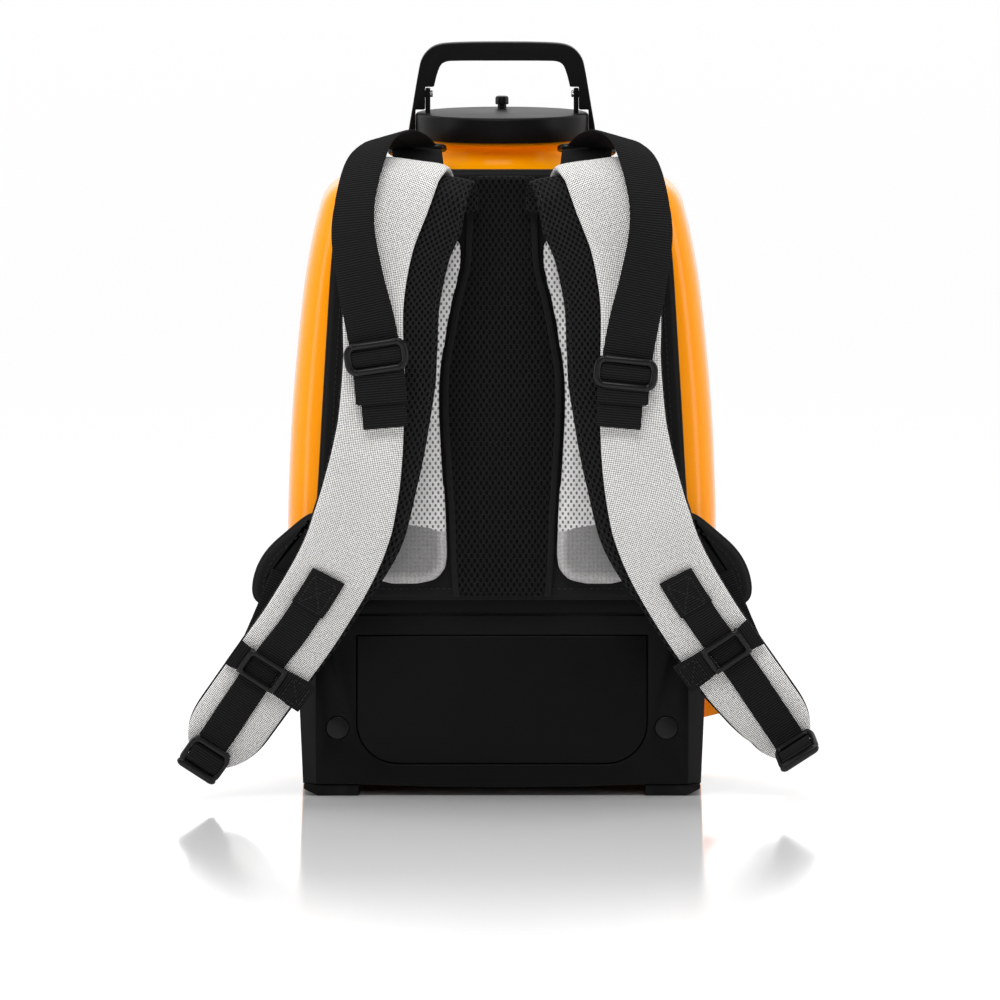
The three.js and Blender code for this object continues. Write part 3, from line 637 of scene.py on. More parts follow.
def band(name, route, span, section, look, stands_for=(), steps=160):
    """A closed body swept along a route. section(t) gives (sideways, lift) points, with
    sideways growing to the right; its UV map is in metres, across and along."""
    rings, uvs = [], []
    for t in steps_between(*span, steps):
        place, _, out, across = route.frame(t)
        ring = section(t)
        rings.append([place + across * sideways + out * lift for sideways, lift in ring])
        uvs += [(reach, t * route.length) for reach in reach_round(ring)]
    points, faces = lofted(rings)
    return add_piece(name, points, faces, look, "machine", stands_for, uvs, 60)


def tube(name, path, radius, closed=False, squash=1.0):
    """A round cord along points, for piping and binding."""
    rings = []
    total = len(path)
    for i, here in enumerate(path):
        before = path[(i - 1) % total] if closed or i else path[i]
        after = path[(i + 1) % total] if closed or i < total - 1 else path[i]
        along = (after - before).normalized()
        side = along.cross(Vector((0, -1, 0)))
        if side.length < 0.1:
            side = along.cross(Vector((1, 0, 0)))
        side.normalize()
        up = side.cross(along).normalized()
        rings.append([here + side * aside + up * rise
                      for aside, rise in oval(8, radius, radius * squash)])
    points, faces = looped(rings) if closed else lofted(rings)
    return add_piece(name, points, faces, "binding")


def stitches(name, lines, body="machine", length=2.6 * MM, pitch=3.8 * MM,
             radius=0.42 * MM, normal=Vector((0, -1, 0))):
    """Thread stitches along several point lists, as one piece of short rounded bars."""
    bars = []
    for line in lines:
        total, at = measured(line)
        for start in np.arange(pitch * 0.3, total - length, pitch):
            ends = at(start), at(start + length)
            along = (ends[1] - ends[0]).normalized()
            side = along.cross(normal).normalized()
            up = side.cross(along)
            bars.append(lofted([
                [ends[0].lerp(ends[1], share) + side * aside + up * rise
                 for aside, rise in oval(6, radius * size, radius * size)]
                for share, size in ((0.0, 0.25), (0.15, 1.0), (0.85, 1.0), (1.0, 0.25))]))
    points, faces = joined(*bars)
    return add_piece(name, points, faces, "thread", body)


def edge_line(route, t_values, sideways, lift):
    """Points along a route at a lift and a side distance; that is a value or a function of t."""
    line = []
    for t in t_values:
        place, _, out, across = route.frame(t)
        aside = sideways(t) if callable(sideways) else sideways
        line.append(place + across * aside + out * lift)
    return line


# ------------------------------------------------------------------ harness: shoulder straps

def strap_half_width(t, end):
    """Half the padding's width, drawn in to a round end at the foot."""
    round_off = 0.085
    near_end = max(0.0, (t - (end - round_off)) / round_off)
    return strap_width(min(t, 0.92)) / 2 * max(1 - near_end ** 2.6, 0.01) ** 0.55


def pucker(t, sideways, half):
    """How far the padding is pulled down where the lower webbing is sewn to it."""
    along = math.exp(-((t - LOWER_WEB_START - 0.006) / 0.011) ** 2)
    dent = 2.4 * along * math.exp(-(sideways / (0.4 * half)) ** 4)
    below = min(max((t - LOWER_WEB_START) / 0.03, 0.0), 1.0)
    trough = 1.1 * math.exp(-(sideways / (0.5 * half)) ** 4)
    creases = 0.5 * math.sin(t * 86 + 60 * sideways) * math.sin(t * 37 - 110 * sideways)
    return (dent + below * (trough + creases)) * MM


def flattened(t):
    """How far the padding is pressed down where it runs under the ladder lock."""
    return 3.2 * MM * min(max((t - 0.95) / 0.04, 0.0), 1.0)


def drawn_in(word, t):
    """How far the padding's edge towards the middle is pulled in by the webbing on it."""
    return float(np.interp(t, *EDGE_DRAWN_IN[word])) * MM


def lining_slip(t):
    """How far the lining lies towards the middle of the back: further near the foot."""
    return 1.3 * MM * smooth_step(0.55, 0.72, t)


def add_shoulder_strap(word):
    """The padding, its mesh lining, and the seam along the lining's turned edge."""
    route, side, end = STRAPS[word], SIDES[word], STRAP_END[word]
    back = 1.3 * MM

    def section(t):
        half = strap_half_width(t, end)
        less = drawn_in(word, t) / 2
        ring = rounded_section(half - less, back, STRAP_FRONT - flattened(t), 56, 4.2)
        return [(aside - side * less,
                 lift - (pucker(t, aside + side * web_aside(t), half) if lift > 4 * MM else 0.0))
                for aside, lift in ring]

    pad = band(f"shoulder_pad_{word}", route, (0, end), section, "weave",
               stands_for=(f"shoulder_strap_{word}",), steps=260)

    def lining_section(t):
        reach = lining_reach(t) - drawn_in(word, t)
        half = strap_half_width(t, end) + reach / 2 + LINING_MARGIN
        ring = rounded_section(half, STRAP_BACK, -0.3 * MM, 48, 3.2)
        return [(aside + side * (reach / 2 + lining_slip(t)), lift) for aside, lift in ring]

    lining = band(f"strap_mesh_{word}", route, (0, end), lining_section, "lining",
                  stands_for=(f"strap_lining_{word}",), steps=220)

    def hem(t):
        reach = strap_half_width(t, end) + lining_reach(t) - drawn_in(word, t)
        return side * (reach - 2.4 * MM)

    seam_line = edge_line(route, steps_between(0.0, 0.66, 150), hem, -0.35 * MM)
    stitches(f"lining_seam_{word}", [seam_line], radius=0.3 * MM)


# ------------------------------------------------------------------ harness: webbing

def tape_section(width, low, high, side=0):
    """A tape's section with slightly rounded edges. With a side, the tape lies a little
    outwards of the strap's middle line, as the lower webbing does."""
    flat = rounded_section(width / 2, low, high, 28, 9.0)

    def section(t):
        return [(sideways - side * web_aside(t), lift) for sideways, lift in flat]
    return section


def add_lower_webbing(word):
    route = STRAPS[word]
    low = STRAP_FRONT + 0.1 * MM
    first, last = LOWER_WEB_START, 0.975
    side = SIDES[word]
    tape = tape_section(LOWER_WEB_WIDTH, low, low + WEB_THICK, side)
    band(f"lower_tape_{word}", route, (first, last), tape, "webbing",
         stands_for=(f"lower_webbing_{word}",), steps=60)
    fold = tape_section(LOWER_WEB_WIDTH + 2.4 * MM, low, low + WEB_THICK + 0.9 * MM, side)
    band(f"lower_tape_fold_{word}", route, (first - 0.002, first + 0.055), fold, "webbing",
         steps=16)
    lift = low + WEB_THICK + 0.95 * MM
    half = LOWER_WEB_WIDTH / 2 - 3 * MM
    box = (first + 0.006, first + 0.052)
    edges = [lambda t, s=s: s * half - side * web_aside(t) for s in (-1, 1)]
    lines = [edge_line(route, steps_between(*box, 8), edge, lift) for edge in edges]
    corners = [[edge_line(route, [t], edge, lift)[0] for edge in edges] for t in box]
    lines += corners
    lines += [[corners[0][0], corners[1][1]], [corners[0][1], corners[1][0]]]
    stitches(f"lower_tape_stitch_{word}", lines)


LIFTER_TAIL_END = 0.94
GLIDE_T = {"left": 0.825, "right": 0.865}      # where the tri-glide sits on the lifter


def lifter_lift(word):
    """The tape's middle rides over the centre bar of its tri-glide and back under."""
    centre = GLIDE_T[word]
    half_span = 11.0 * MM / LIFTERS[word].length

    def lift(t):
        near = abs(t - centre) / half_span
        return 5.0 * MM * math.cos(min(near, 1.0) * math.pi / 2) ** 1.4
    return lift


def add_lifter_webbing(word):
    route = LIFTERS[word]
    lift = lifter_lift(word)
    half = WEB_THICK / 2
    side = SIDES[word]

    def section(t):
        rise = lift(t)
        narrower = 2.0 * MM if t > LIFTER_TAIL_END else 0.0
        ring = rounded_section(LIFTER_WIDTH / 2 - narrower, rise - half, rise + half, 28, 9.0)
        return [(aside + side * narrower, height) for aside, height in ring]

    band(f"lifter_tape_{word}", route, (0, 1), section, "webbing",
         stands_for=(f"lifter_webbing_{word}",), steps=240)

    # the tape doubles back through the tri-glide, so a second, shorter end lies on the first
    first = GLIDE_T[word] + 10 * MM / route.length

    def tail_section(t):
        rise = 2.7 * MM + 0.8 * MM * math.sin(math.pi * (t - first) / (LIFTER_TAIL_END - first))
        ring = rounded_section(LIFTER_WIDTH / 2 - 0.2 * MM, rise - half, rise + half, 28, 9.0)
        return [(aside + side * 1.2 * MM, height) for aside, height in ring]

    band(f"lifter_tail_{word}", route, (first, LIFTER_TAIL_END), tail_section, "webbing", steps=40)

    # sewn down to its anchor loop
    lines = []
    for t in (0.035, 0.05):
        across = [edge_line(route, [t], s * (LIFTER_WIDTH / 2 - 3 * MM), half + 0.1 * MM)[0]
                  for s in (-1, 1)]
        lines.append(across)
    stitches(f"lifter_stitch_{word}", lines, normal=Vector((0, 0, 1)))


def add_return_webbing(word):
    side = SIDES[word]
    points = [(163, -80, 170), (185, -80.5, 118), (208, -82.5, 72), (221, -84.5, 46)]
    route = Route(points, side)
    half = WEB_THICK / 2
    band(f"return_tape_{word}", route, (0, 1),
         tape_section(LOWER_WEB_WIDTH, -half, half), "webbing",
         stands_for=(f"return_webbing_{word}",), steps=60)


# ------------------------------------------------------------------ harness: panels and pads

BOARD_BACK = -62.6
BOARD_FRONT = -76
PAD_FACE = -91.5                              # as far as the cushions may swell
BOARD_HALF = [(0, 151), (70, 151), (141, 151), (141, 217), (139, 245), (136, 300), (133, 350),
              (130, 400), (126, 445), (118, 466), (100, 478), (50, 478), (0, 478)]
WING = [(141.6, 144.5), (176, 144.5), (188, 150), (190, 161), (186, 177), (177, 191),
        (163, 203), (150, 214), (141.6, 217.5)]
PAD = [(31, 431), (30, 405), (38, 375), (47, 320), (47, 290), (41.5, 215), (40, 176), (52, 163),
       (95, 163), (107, 178), (104, 235), (90, 310), (66, 380), (44, 425)]
BACK_MESH_HALF = [(36, 154), (38, 175), (39, 212), (44.5, 295), (44, 325), (35, 376), (27, 405),
                  (26, 432), (24, 474)]
PATCH_SEAM = ((41, 203), (104, 218))          # (|x|, z): the patch covers the pad below it
HEM_WIDTH = 10                                # of the paler edge of the patch


def eased_corner(before, here, after, radius, most, steps):
    """A curve round a corner, starting at most radius or a share of the sides away."""
    start, end = (here + (other - here).normalized() * min(radius, (other - here).length * most)
                  for other in (before, after))
    return [start.lerp(here, share).lerp(here.lerp(end, share), share)
            for share in steps_between(0, 1, steps)]


def rounded_outline(corners, radius, closed=True):
    """An outline with its corners eased; an open one keeps its two ends."""
    line = [Vector(corner) for corner in corners]
    outline = []
    for i, here in enumerate(line):
        if closed or 0 < i < len(line) - 1:
            outline += eased_corner(line[i - 1], here, line[(i + 1) % len(line)], radius, 0.5, 6)
        else:
            outline.append(here)
    return outline


def eased(corners):
    """A closed outline from (x, z, radius) corners."""
    places = [Vector((x, z)) for x, z, _ in corners]
    outline = []
    for i, here in enumerate(places):
        after, radius = places[(i + 1) % len(places)], corners[i][2]
        outline += eased_corner(places[i - 1], here, after, radius, 0.49, 8 if radius > 1 else 2)
    return thin_out(outline, 0.05)


def inset_outline(outline, amount):
    """The outline moved inwards by amount; it runs anticlockwise in (x, z)."""
    total = len(outline)
    area = sum(outline[i - 1].cross(outline[i]) for i in range(total))
    turn = 1 if area > 0 else -1
    moved = []
    for i, here in enumerate(outline):
        along = outline[(i + 1) % total] - outline[i - 1]
        if along.length < 1e-6:
            moved.append(here.copy())
            continue
        along.normalize()
        moved.append(here + Vector((-along.y, along.x)) * amount * turn)
    return moved


def thin_out(outline, least=0.6):
    """Drops points that lie almost on the one before."""
    kept = [outline[0]]
    for point in outline[1:]:
        if (point - kept[-1]).length > least:
            kept.append(point)
    if (kept[0] - kept[-1]).length <= least:
        kept.pop()
    return kept


def upright(outline, depth):
    """An (x, z) outline in millimetres, stood up at a depth."""
    return [Vector((p.x, depth, p.y)) * MM for p in outline]


def panel(name, outline, back, front, look, rounding, stands_for):
    """A flat padded panel standing across Y, with a rolled edge; millimetres."""
    rings = [upright(outline, back)]
    for turn in steps_between(0, math.pi / 2, 6):
        inner = inset_outline(outline, rounding * (1 - math.cos(turn)))
        rings.append(upright(inner, front + rounding * (1 - math.sin(turn))))
    points, faces = lofted(rings)
    return add_piece(name, points, faces, look, "machine", stands_for, sharp=50)


def piping(name, outline, depth, radius):
    return tube(name, upright(outline, depth), radius * MM, closed=True)


def seam(name, outline, depth):
    line = upright(outline, depth)
    return stitches(name, [line + line[:1]], length=3.0 * MM, pitch=4.6 * MM)


def flipped(points, side):
    return [(x * side, z) for x, z in points]


def add_board():
    half = BOARD_HALF
    corners = half[1:-1] + [(-x, z) for x, z in reversed(half[1:-1])]
    outline = thin_out(rounded_outline(corners, 14))
    panel("board", outline, BOARD_BACK, BOARD_FRONT, "board", 4.5, ("harness_board",))
    piping("board_piping", inset_outline(outline, 1.6), BOARD_FRONT + 3.2, 2.1)
    seam("board_stitch", inset_outline(outline, 8.5), BOARD_FRONT - 0.15)
    for word, side in SIDES.items():
        wing = thin_out(rounded_outline(flipped(WING, side), 9))
        panel(f"wing_{word}", wing, BOARD_BACK, BOARD_FRONT - 1.6, "board", 5.5,
              (f"side_wing_{word}",))
        piping(f"wing_piping_{word}", inset_outline(wing, 1.4), BOARD_FRONT + 2.6, 2.0)
        seam(f"wing_stitch_{word}", inset_outline(wing, 8.0), BOARD_FRONT - 1.75)


def add_back_mesh():
    half = BACK_MESH_HALF
    corners = half + [(-x, z) for x, z in reversed(half)]
    outline = thin_out(rounded_outline(corners, 10))
    panel("back_mesh", outline, BOARD_FRONT - 0.2, -83.2, "mesh", 3.4, ("back_mesh_panel",))
    for word, side in SIDES.items():
        edge = thin_out(rounded_outline(flipped(half, side), 12, closed=False))
        path = upright([p - Vector((side * 1.5, 0)) for p in edge], -82.4)
        tube(f"back_mesh_edge_{word}", path, 2.6 * MM, squash=0.75)


def inflate(piece, pressure, cap):
    """Lets the piece swell as a stuffed cover does, moving no point further than cap."""
    remesh = piece.modifiers.new("remesh", "REMESH")
    remesh.mode = "VOXEL"
    remesh.voxel_size = 4 * MM
    remesh.use_smooth_shade = True
    apply_modifiers(piece)
    before = [vertex.co.copy() for vertex in piece.data.vertices]
    cloth = piece.modifiers.new("cloth", "CLOTH")
    cloth.settings.use_pressure = True
    cloth.settings.uniform_pressure_force = pressure
    cloth.settings.effector_weights.gravity = 0
    cloth.settings.quality = 6
    cloth.settings.mass = 0.3
    cloth.settings.tension_stiffness = 15
    cloth.settings.bending_stiffness = 0.5
    scene = bpy.context.scene
    for number in range(1, 21):
        scene.frame_set(number)
    apply_modifiers(piece)
    scene.frame_set(1)
    # the sewn outline keeps its shape, so each point only keeps its move towards the wearer
    for vertex, here in zip(piece.data.vertices, before):
        move = min(max(vertex.co.y - here.y, -cap), cap)
        vertex.co = (here.x, here.y + move, here.z)


def apply_modifiers(piece):
    graph = bpy.context.evaluated_depsgraph_get()
    made = bpy.data.meshes.new_from_object(piece.evaluated_get(graph))
    old = piece.data
    piece.modifiers.clear()
    piece.data = made
    bpy.data.meshes.remove(old)


def add_lumbar_pad(word):
    side = SIDES[word]
    outline = thin_out(rounded_outline(flipped(PAD, side), 13))
    small = inset_outline(outline, 0.8)
    pad = panel(f"lumbar_cushion_{word}", small, BOARD_FRONT - 0.6, -87.5, "pad_mesh", 4.0,
                (f"lumbar_pad_{word}",))
    inflate(pad, 4.0, 5 * MM)
    for vertex in pad.data.vertices:
        vertex.co.y = min(max(vertex.co.y, PAD_FACE * MM), (BOARD_FRONT - 0.4) * MM)
    split_patch(pad, side, outline)
    pad.data.shade_smooth()
    subdivide = pad.modifiers.new("fine", "SUBSURF")
    subdivide.levels = subdivide.render_levels = 1


def distance_to(outline, x, z):
    """How far a point is from a closed outline, in the outline's units."""
    here = Vector((x, z))
    nearest = math.inf
    for a, b in zip(outline, outline[1:] + outline[:1]):
        run = b - a
        share = min(max((here - a).dot(run) / run.length_squared, 0.0), 1.0)
        nearest = min(nearest, (a + run * share - here).length)
    return nearest


def split_patch(pad, side, outline):
    """Cuts the pad's cover along the seam, and makes the part below it the woven patch,
    with a paler hem round its edge."""
    (x0, z0), (x1, z1) = PATCH_SEAM
    start = Vector((side * x0, 0, z0)) * MM
    along = Vector((side * (x1 - x0), 0, z1 - z0)).normalized()
    normal = along.cross(Vector((0, 1, 0)))
    if normal.z < 0:
        normal.negate()
    shell = bmesh.new()
    shell.from_mesh(pad.data)
    everything = list(shell.verts) + list(shell.edges) + list(shell.faces)
    bmesh.ops.bisect_plane(shell, geom=everything, plane_co=start, plane_no=normal,
                           dist=0.02 * MM)
    pad.data.materials.append(LOOKS["pad_patch"])
    for face in shell.faces:
        if (face.calc_center_median() - start).dot(normal) < 0:
            face.material_index = 1
    shell.to_mesh(pad.data)
    shell.free()
    hem = pad.data.attributes.new("hem", "FLOAT", "POINT")
    for vertex, rim in zip(pad.data.vertices, hem.data):
        inwards = distance_to(outline, vertex.co.x / MM, vertex.co.z / MM)
        rim.value = smooth_step(HEM_WIDTH, 0.4 * HEM_WIDTH, inwards)


# ------------------------------------------------------------------ shell and neck

# [height, half width, back] of the orange shell, millimetres, as in the frame
SHELL_SECTIONS = [
    (157.3, 161, 137), (200, 163, 143), (255, 161.5, 146), (300, 159, 145.5),
    (345, 155, 142.5), (385, 150.5, 137), (415, 145.5, 130), (437, 140.5, 122),
    (453, 135.5, 112), (463, 127.5, 101), (468.5, 116, 88), (470, 102, 74),
]
SHELL_FRONT = -61.5
SHELL_MIDDLE = 0.45               # where the widest line lies, from front to back
NECK = (0.0, 30.0)                # axis of the neck and lid
NECK_HOLE = 46
HOSE_HEIGHT = 415


def between_sections(sections, rows):
    """Rows between the sections, on Catmull-Rom curves through them."""
    fine = []
    last = len(sections) - 1
    for i in range(last):
        a, b, c, d = (np.array(sections[min(max(i + k, 0), last)], float) for k in (-1, 0, 1, 2))
        for t in (step / rows for step in range(rows)):
            fine.append(0.5 * (2 * b + (c - a) * t + (2 * a - 5 * b + 4 * c - d) * t * t
                               + (3 * b - a - 3 * c + d) * t ** 3))
    fine.append(np.array(sections[-1], float))
    return fine


def shell_ring(height, half_width, back, count):
    """One level of the shell, boxy at the front and rounder at the back, evenly spaced."""
    middle = SHELL_FRONT + (back - SHELL_FRONT) * SHELL_MIDDLE
    turns = np.linspace(0, 2 * math.pi, 2000)
    c, s = np.cos(turns), np.sin(turns)
    power = np.where(s < 0, 0.3, 0.66)
    depth = np.where(s < 0, middle - SHELL_FRONT, back - middle)
    x = np.sign(c) * np.abs(c) ** power * half_width
    y = middle + np.sign(s) * np.abs(s) ** power * depth
    reach = np.concatenate([[0], np.cumsum(np.hypot(np.diff(x), np.diff(y)))])
    places = np.linspace(0, reach[-1], count, endpoint=False)
    return [Vector((px, py, height)) * MM
            for px, py in zip(np.interp(places, reach, x), np.interp(places, reach, y))]


def neck_ring(height, radius, like):
    """A circle round the neck's axis, each point in line with one of another ring."""
    centre = Vector((NECK[0], NECK[1], 0)) * MM
    ring = []
    for point in like:
        away = Vector((point.x - centre.x, point.y - centre.y, 0)).normalized()
        ring.append(centre + away * radius * MM + Vector((0, 0, height * MM)))
    return ring


def add_shell():
    count = 216
    rings = [shell_ring(*row, count) for row in between_sections(SHELL_SECTIONS, 7)]
    top = rings[-1]
    height = SHELL_SECTIONS[-1][0]
    rings += [neck_ring(height, NECK_HOLE, top), neck_ring(height - 4, NECK_HOLE, top)]
    points = [point for ring in rings for point in ring]
    hose = Vector((0, 0, HOSE_HEIGHT)) * MM
    faces = []
    for face in grid_faces(len(rings), count):
        middle = sum((points[corner] for corner in face), Vector()) / 4
        off_axis = Vector((middle.x - hose.x, middle.z - hose.z)).length
        if middle.y < 0 or off_axis > 26 * MM:      # leaves the hole for the hose inlet
            faces.append(face)
    add_piece("shell_skin", points, faces, "orange", stands_for=("main_shell",), sharp=50)


def add_collar():
    profile = [(44, 470.3), (62, 470.3), (58.5, 471.6), (55.2, 474.2), (52.6, 477.8),
               (50.8, 482.4), (50, 487), (50.6, 489.6), (53, 491.2), (58, 491.8), (59.6, 492.2),
               (60, 493), (60, 494.4), (59.4, 495), (48, 495), (48, 491), (44, 491)]
    points, faces = turned(profile, NECK, 128)
    add_piece("collar_ring", points, faces, "neck", stands_for=("neck_collar",), sharp=45)


# ------------------------------------------------------------------ lid and handle

LID_RADIUS = 65.8
LID_BOTTOM = 495.3
LID_TOP = 514.7
HANDLE_AXIS = 529
HANDLE_DEPTH = 14
KNOB_Y = 75                       # towards the back of the lid


def slab(outline, front, back, rounding, steps=5):
    """A flat piece standing across Y with both of its rims rounded; millimetres."""
    turns = steps_between(0, math.pi / 2, steps)
    rings = []
    for depth, inwards, order in ((front, 1, turns), (back, -1, turns[::-1])):
        for turn in order:
            inner = inset_outline(outline, rounding * (1 - math.sin(turn)))
            rings.append(upright(inner, depth + inwards * rounding * (1 - math.cos(turn))))
    return lofted(rings)


def add_lid():
    r, low, top = LID_RADIUS, LID_BOTTOM, LID_TOP
    profile = [(0.01, top)]
    profile += [(r - 2.2 + 2.2 * math.sin(a), top - 2.2 + 2.2 * math.cos(a))
                for a in np.linspace(0, math.pi / 2, 8)]
    profile += [(r, low + 0.8), (r - 0.4, low + 0.2), (r - 1.2, low), (r - 4.5, low),
                (r - 4.5, top - 6), (0.01, top - 6)]
    disc = turned(profile, NECK, 160)
    lugs = []
    for side in (-1, 1):
        inner, outer = 54.6 * side, 58.35 * side
        half, head = 4.0, HANDLE_AXIS + 4.4
        corners = [(inner, top - 1, 0.2), (outer, top - 1, 0.2), (outer, head, 0.9),
                   (inner, head, 0.9)]
        lugs.append(slab(eased(corners), NECK[1] - half, NECK[1] + half, 0.7))
    points, faces = joined(disc, *lugs)
    add_piece("lid_cap", points, faces, "lid", "lid", ("lid",), sharp=38)


def add_handle():
    """The bail, with legs notched round the lid's lugs."""
    foot, wide, top = 65.86, 58.5, 568.6
    half = [(foot, 497, 1.9), (71.4, 497, 1.9), (70.9, 503, 2), (68.0, 520, 6),
            (63.9, 545, 12), (61.2, 557.6, 10), (51.5, top - 1.6, 9), (30, top, 30)]
    inside = [(30, top - 14, 8), (45.6, top - 14.4, 7), (49.4, 545, 6), (51.8, 534.6, 1.2),
              (wide, 534.6, 0.8), (wide, 517.2, 1.6), (foot, 517.2, 0.8)]
    corners = half + [(-x, z, r) for x, z, r in reversed(half)]
    corners += [(-x, z, r) for x, z, r in reversed(inside)]
    corners += inside
    front, back = NECK[1] - HANDLE_DEPTH / 2, NECK[1] + HANDLE_DEPTH / 2
    points, faces = slab(eased(corners), front, back, 0.75, 4)
    add_piece("bail", points, faces, "lid", "handle", ("handle",), sharp=42)


def add_knob():
    """The lid's button: a small faceted cap that slides down over a stem on the lid."""
    stem = [(0.01, 512), (3.4, 512), (3.4, 518.2), (0.01, 518.2)]
    cap = [(0.01, 521), (3.7, 521), (3.7, 517.9), (4.9, 517.9), (5.3, 518.4), (5.3, 522.6),
           (4.7, 523.8), (3.2, 524.3), (0.01, 524.3)]
    for name, profile, body in (("knob_stem", stem, "lid"), ("lid_knob", cap, "lid_button")):
        points, faces = turned(profile, (0.0, KNOB_Y), 48)
        for i, point in enumerate(points):
            away = Vector((point.x, point.y - KNOB_Y * MM))
            if away.length > 4.5 * MM:
                flute = 1 - 0.05 * abs(math.cos(math.atan2(away.y, away.x) * 5))
                points[i] = Vector((away.x * flute, KNOB_Y * MM + away.y * flute, point.z))
        add_piece(name, points, faces, "trim", body, (body,), sharp=35)


# ------------------------------------------------------------------ buckles

def frame_of(route, t, sideways=0.0, lift=0.0):
    """The matrix that seats a buckle, drawn flat, on a strap: x across, y along, z out."""
    place, along, out, across = route.frame(t)
    place = place + across * (sideways * route.side) + out * lift
    matrix = Matrix((across, along, out)).transposed().to_4x4()
    matrix.translation = place
    return matrix


def rounded_bar(start, end, width, height, ends=True):
    """A moulded bar between two points of a buckle's plane: an oval section, rounded ends."""
    start, end = Vector(start), Vector(end)
    along = (end - start).normalized()
    side = along.cross(Vector((0, 0, 1))).normalized()
    rings = []
    caps = [(0.0, 0.35), (0.25, 0.8), (0.6, 1.0)] if ends else [(0.0, 1.0)]
    stations = [(start + along * (share * width), size) for share, size in caps]
    stations += [(end - along * (share * width), size) for share, size in reversed(caps)]
    for middle, size in stations:
        section = oval(16, width / 2 * size, height / 2 * size, 0.75, 0.75)
        rings.append([middle + side * aside + Vector((0, 0, rise)) for aside, rise in section])
    return lofted(rings)


def ring_frame(width, length, thickness, bar, corner, lift=0.0):
    """A closed rounded-rectangle frame of oval section, flat, resting on z = lift."""
    x, y = (width - bar) / 2, (length - bar) / 2
    outline = eased([(-x, -y, corner), (x, -y, corner), (x, y, corner), (-x, y, corner)])
    section = oval(16, bar / 2, thickness / 2, 0.75, 0.75)
    rings = []
    for i, here in enumerate(outline):
        along = (outline[(i + 1) % len(outline)] - outline[i - 1]).normalized()
        side = Vector((along.y, -along.x, 0))
        rings.append([Vector((here.x, here.y, lift + thickness / 2 + rise)) + side * aside
                      for aside, rise in section])
    return looped(rings)


def add_buckle(name, parts, matrix, body, stands_for):
    """Seats flat parts, drawn in millimetres, on a strap."""
    points, faces = joined(*parts)
    placed = [matrix @ (Vector(point) * MM) for point in points]
    return add_piece(name, placed, faces, "trim", body, stands_for, None, 50)


def add_tri_glide(word):
    """Three bars in a frame; the webbing goes over the middle one."""
    matrix = frame_of(LIFTERS[word], GLIDE_T[word], 0, WEB_THICK / 2 + 0.3 * MM)
    parts = [
        ring_frame(49, 25.4, 5.2, 5.6, 7.5),
        rounded_bar((-21, 0, 1.8), (21, 0, 1.8), 4.2, 3.0, False),
        rounded_bar((-19, -9.9, 3.0), (19, -9.9, 3.0), 5.4, 6.0),
        rounded_bar((-19, 9.9, 3.0), (19, 9.9, 3.0), 5.4, 6.0),
    ]
    add_buckle(f"glide_{word}", parts, matrix, "machine", (f"tri_glide_{word}",))


LADDER_TILT = {"left": 0.0, "right": 68.0}
LADDER_ASIDE = {"left": 2, "right": 6}
LADDER_PIVOT = 11.5               # its upper bar, from its middle


def lock_matrix(word):
    """Seats the ladder lock at its strap's foot, tipped about its upper bar."""
    seat = frame_of(STRAPS[word], 1.0, -LADDER_ASIDE[word] * MM, STRAP_FRONT + 0.3 * MM)
    tilt = Matrix.Rotation(math.radians(LADDER_TILT[word]), 4, "X")
    pivot = Vector((0, LADDER_PIVOT * MM, 0))
    return seat @ Matrix.Translation(-pivot) @ tilt @ Matrix.Translation(pivot)


def add_ladder_lock(word):
    """Two slots, a deeper lip at the free end, and a grip above the pivot bar."""
    parts = [
        ring_frame(35, 27, 5.0, 4.4, 6),
        rounded_bar((-15, 0, 2.4), (15, 0, 2.4), 3.8, 3.6, False),
        rounded_bar((-17, 11.4, 3.1), (17, 11.4, 3.1), 6.2, 6.0),
        rounded_bar((-15.5, -11.4, 2.7), (15.5, -11.4, 2.7), 4.6, 5.2),
    ]
    add_buckle(f"lock_{word}", parts, lock_matrix(word), f"ladder_lock_{word}",
               (f"ladder_lock_{word}",))


def add_chest_slider(word):
    """A frame round the lower webbing, with chest webbing folded over both of its sides."""
    side = SIDES[word]
    half, reach = LOWER_WEB_WIDTH / MM / 2 + 0.6, LOWER_WEB_WIDTH / MM / 2 + 4.6
    at = CHEST_SLIDER_AT[word]
    matrix = frame_of(STRAPS[word], at, -web_aside(at), STRAP_FRONT + 0.3 * MM)
    parts = [
        ring_frame(2 * reach, 22.5, 4.4, 4.0, 4, 2.8),
        rounded_bar((-half - 2, -11.2, 3.4), (-half - 2, 11.2, 3.4), 3.6, 6.4),
        rounded_bar((half + 2, -11.2, 3.4), (half + 2, 11.2, 3.4), 3.6, 6.4),
    ]
    add_buckle(f"slider_{word}", parts, matrix, f"chest_slider_{word}",
               (f"chest_slider_{word}",))
    near = LOWER_WEB_WIDTH / MM / 2 + 0.4       # close beside the lower webbing
    add_chest_fold(f"chest_fold_{word}", matrix, side * near, side * (reach + 24), 11.6, word)
    add_chest_fold(f"chest_stub_{word}", matrix, -side * near, -side * (reach + 9.4), 10.6, word)
    ends = [side * (reach + 6), side * (reach + 21)]
    corners = [[matrix @ (Vector((x, y, 5.3)) * MM) for y in (-8.5, 8.5)] for x in ends]
    lines = [corners[0], corners[1], [corners[0][0], corners[1][0]],
             [corners[0][1], corners[1][1]], [corners[0][0], corners[1][1]]]
    stitches(f"chest_stitch_{word}", lines, body=f"chest_slider_{word}",
             normal=matrix.to_3x3() @ Vector((0, 0, 1)))


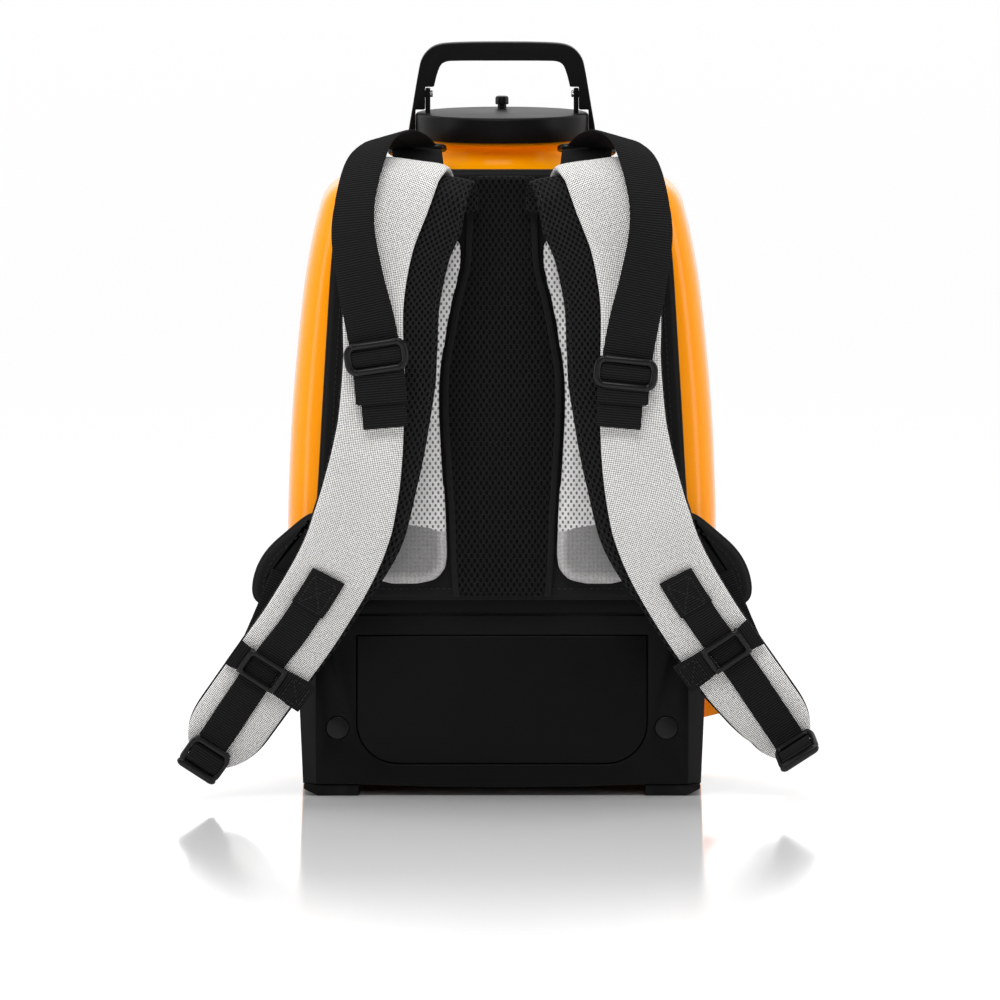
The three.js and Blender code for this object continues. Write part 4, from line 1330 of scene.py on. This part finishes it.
def add_chest_fold(name, matrix, inner, outer, half_width, word):
    """The chest webbing where it is folded over one side of the slider, and sewn."""
    rings, uvs = [], []
    for share in steps_between(0, 1, 14):
        x = inner + (outer - inner) * share
        half = half_width - 0.8 * math.cos(math.pi * share)
        lift = 1.9 + 0.9 * math.sin(math.pi * share)
        ring = oval(28, half, 1.9 * (1 - 0.25 * share), 0.2, 0.6)
        rings.append([matrix @ (Vector((x, y, lift + rise)) * MM) for y, rise in ring])
        uvs += [(y * MM, x * MM) for y, _ in ring]
    points, faces = lofted(rings)
    add_piece(name, points, faces, "webbing", f"chest_slider_{word}",
              (f"chest_tail_{word}",), uvs, 60)


def add_anchor_loop(word):
    matrix = frame_of(LIFTERS[word], -0.035, 0, -2 * MM)
    parts = [
        ring_frame(46, 14, 4.2, 4.2, 4),
        rounded_bar((-20.5, 4.8, 2.1), (20.5, 4.8, 2.1), 5.0, 5.0),
        rounded_bar((-20.5, -4.8, 2.1), (20.5, -4.8, 2.1), 4.6, 4.6),
    ]
    add_buckle(f"anchor_{word}", parts, matrix, "machine", (f"anchor_loop_{word}",))


def add_anchor_tab(word):
    """The short tape that holds the anchor loop to the top edge of the board."""
    route = Route([(65, -28, 491.5), (64.5, -40, 489.5), (63.5, -56, 482.5), (62.5, -70, 477)],
                  SIDES[word])
    half = WEB_THICK / 2
    band(f"anchor_tape_{word}", route, (0, 1), tape_section(LIFTER_WIDTH, -half, half),
         "webbing", steps=30)


def add_lock_webbing(word):
    """The return webbing's loop, through both slots of the ladder lock."""
    matrix = lock_matrix(word)
    # (along, out) of the fold: up through the lower slot, over the middle bar, down again
    line = [(9.0, 0.2), (7.0, 2.0), (4.5, 4.6), (0.0, 5.6), (-4.5, 4.6), (-6.8, 2.0), (-8.6, 0.2)]
    rings = []
    for i, (y, z) in enumerate(line):
        before, after = line[max(i - 1, 0)], line[min(i + 1, len(line) - 1)]
        along = Vector((after[0] - before[0], after[1] - before[1])).normalized()
        normal = Vector((-along.y, along.x))
        rings.append([matrix @ (Vector((x, y + normal.x * aside, z + normal.y * aside)) * MM)
                      for x, aside in oval(20, 13.45, 0.9, 0.12, 0.6)])
    points, faces = lofted(rings)
    back_to_buckle = matrix.inverted()
    uvs = [(back_to_buckle @ point).to_2d() for point in points]
    add_piece(f"lock_fold_{word}", points, faces, "webbing", f"ladder_lock_{word}", (), uvs, 60)


# ------------------------------------------------------------------ nodes kept from the CAD

FINISH_OF_SLOT = {
    "orange_plastic": "orange", "housing_plastic": "housing", "trim_plastic": "trim",
    "rubber": "rubber", "steel": "steel", "motor_metal": "copper", "grey_fabric": "pad_mesh",
    "black_mesh": "mesh", "webbing": "webbing", "filter_paper": "paper", "circuit": "circuit",
}


def dress_nodes():
    """Gives the CAD nodes that are still shown their finish, and rounds their edges."""
    for part in frame["record"]["subparts"]:
        node = nodes[part["node"]]
        if not node.hide_render:
            node.data.materials.clear()
            node.data.materials.append(LOOKS[FINISH_OF_SLOT[part["material_slot"]]])
            soften(node, 0.8 * MM)


# ------------------------------------------------------------------ everything

def main():
    add_camera()
    add_studio()
    add_shell()
    add_collar()
    add_lid()
    add_handle()
    add_knob()
    add_board()
    add_back_mesh()
    for word in SIDES:
        add_lumbar_pad(word)
        add_shoulder_strap(word)
        add_lower_webbing(word)
        add_lifter_webbing(word)
        add_return_webbing(word)
        add_tri_glide(word)
        add_anchor_loop(word)
        add_anchor_tab(word)
        add_ladder_lock(word)
        add_lock_webbing(word)
        add_chest_slider(word)
    dress_nodes()


main()
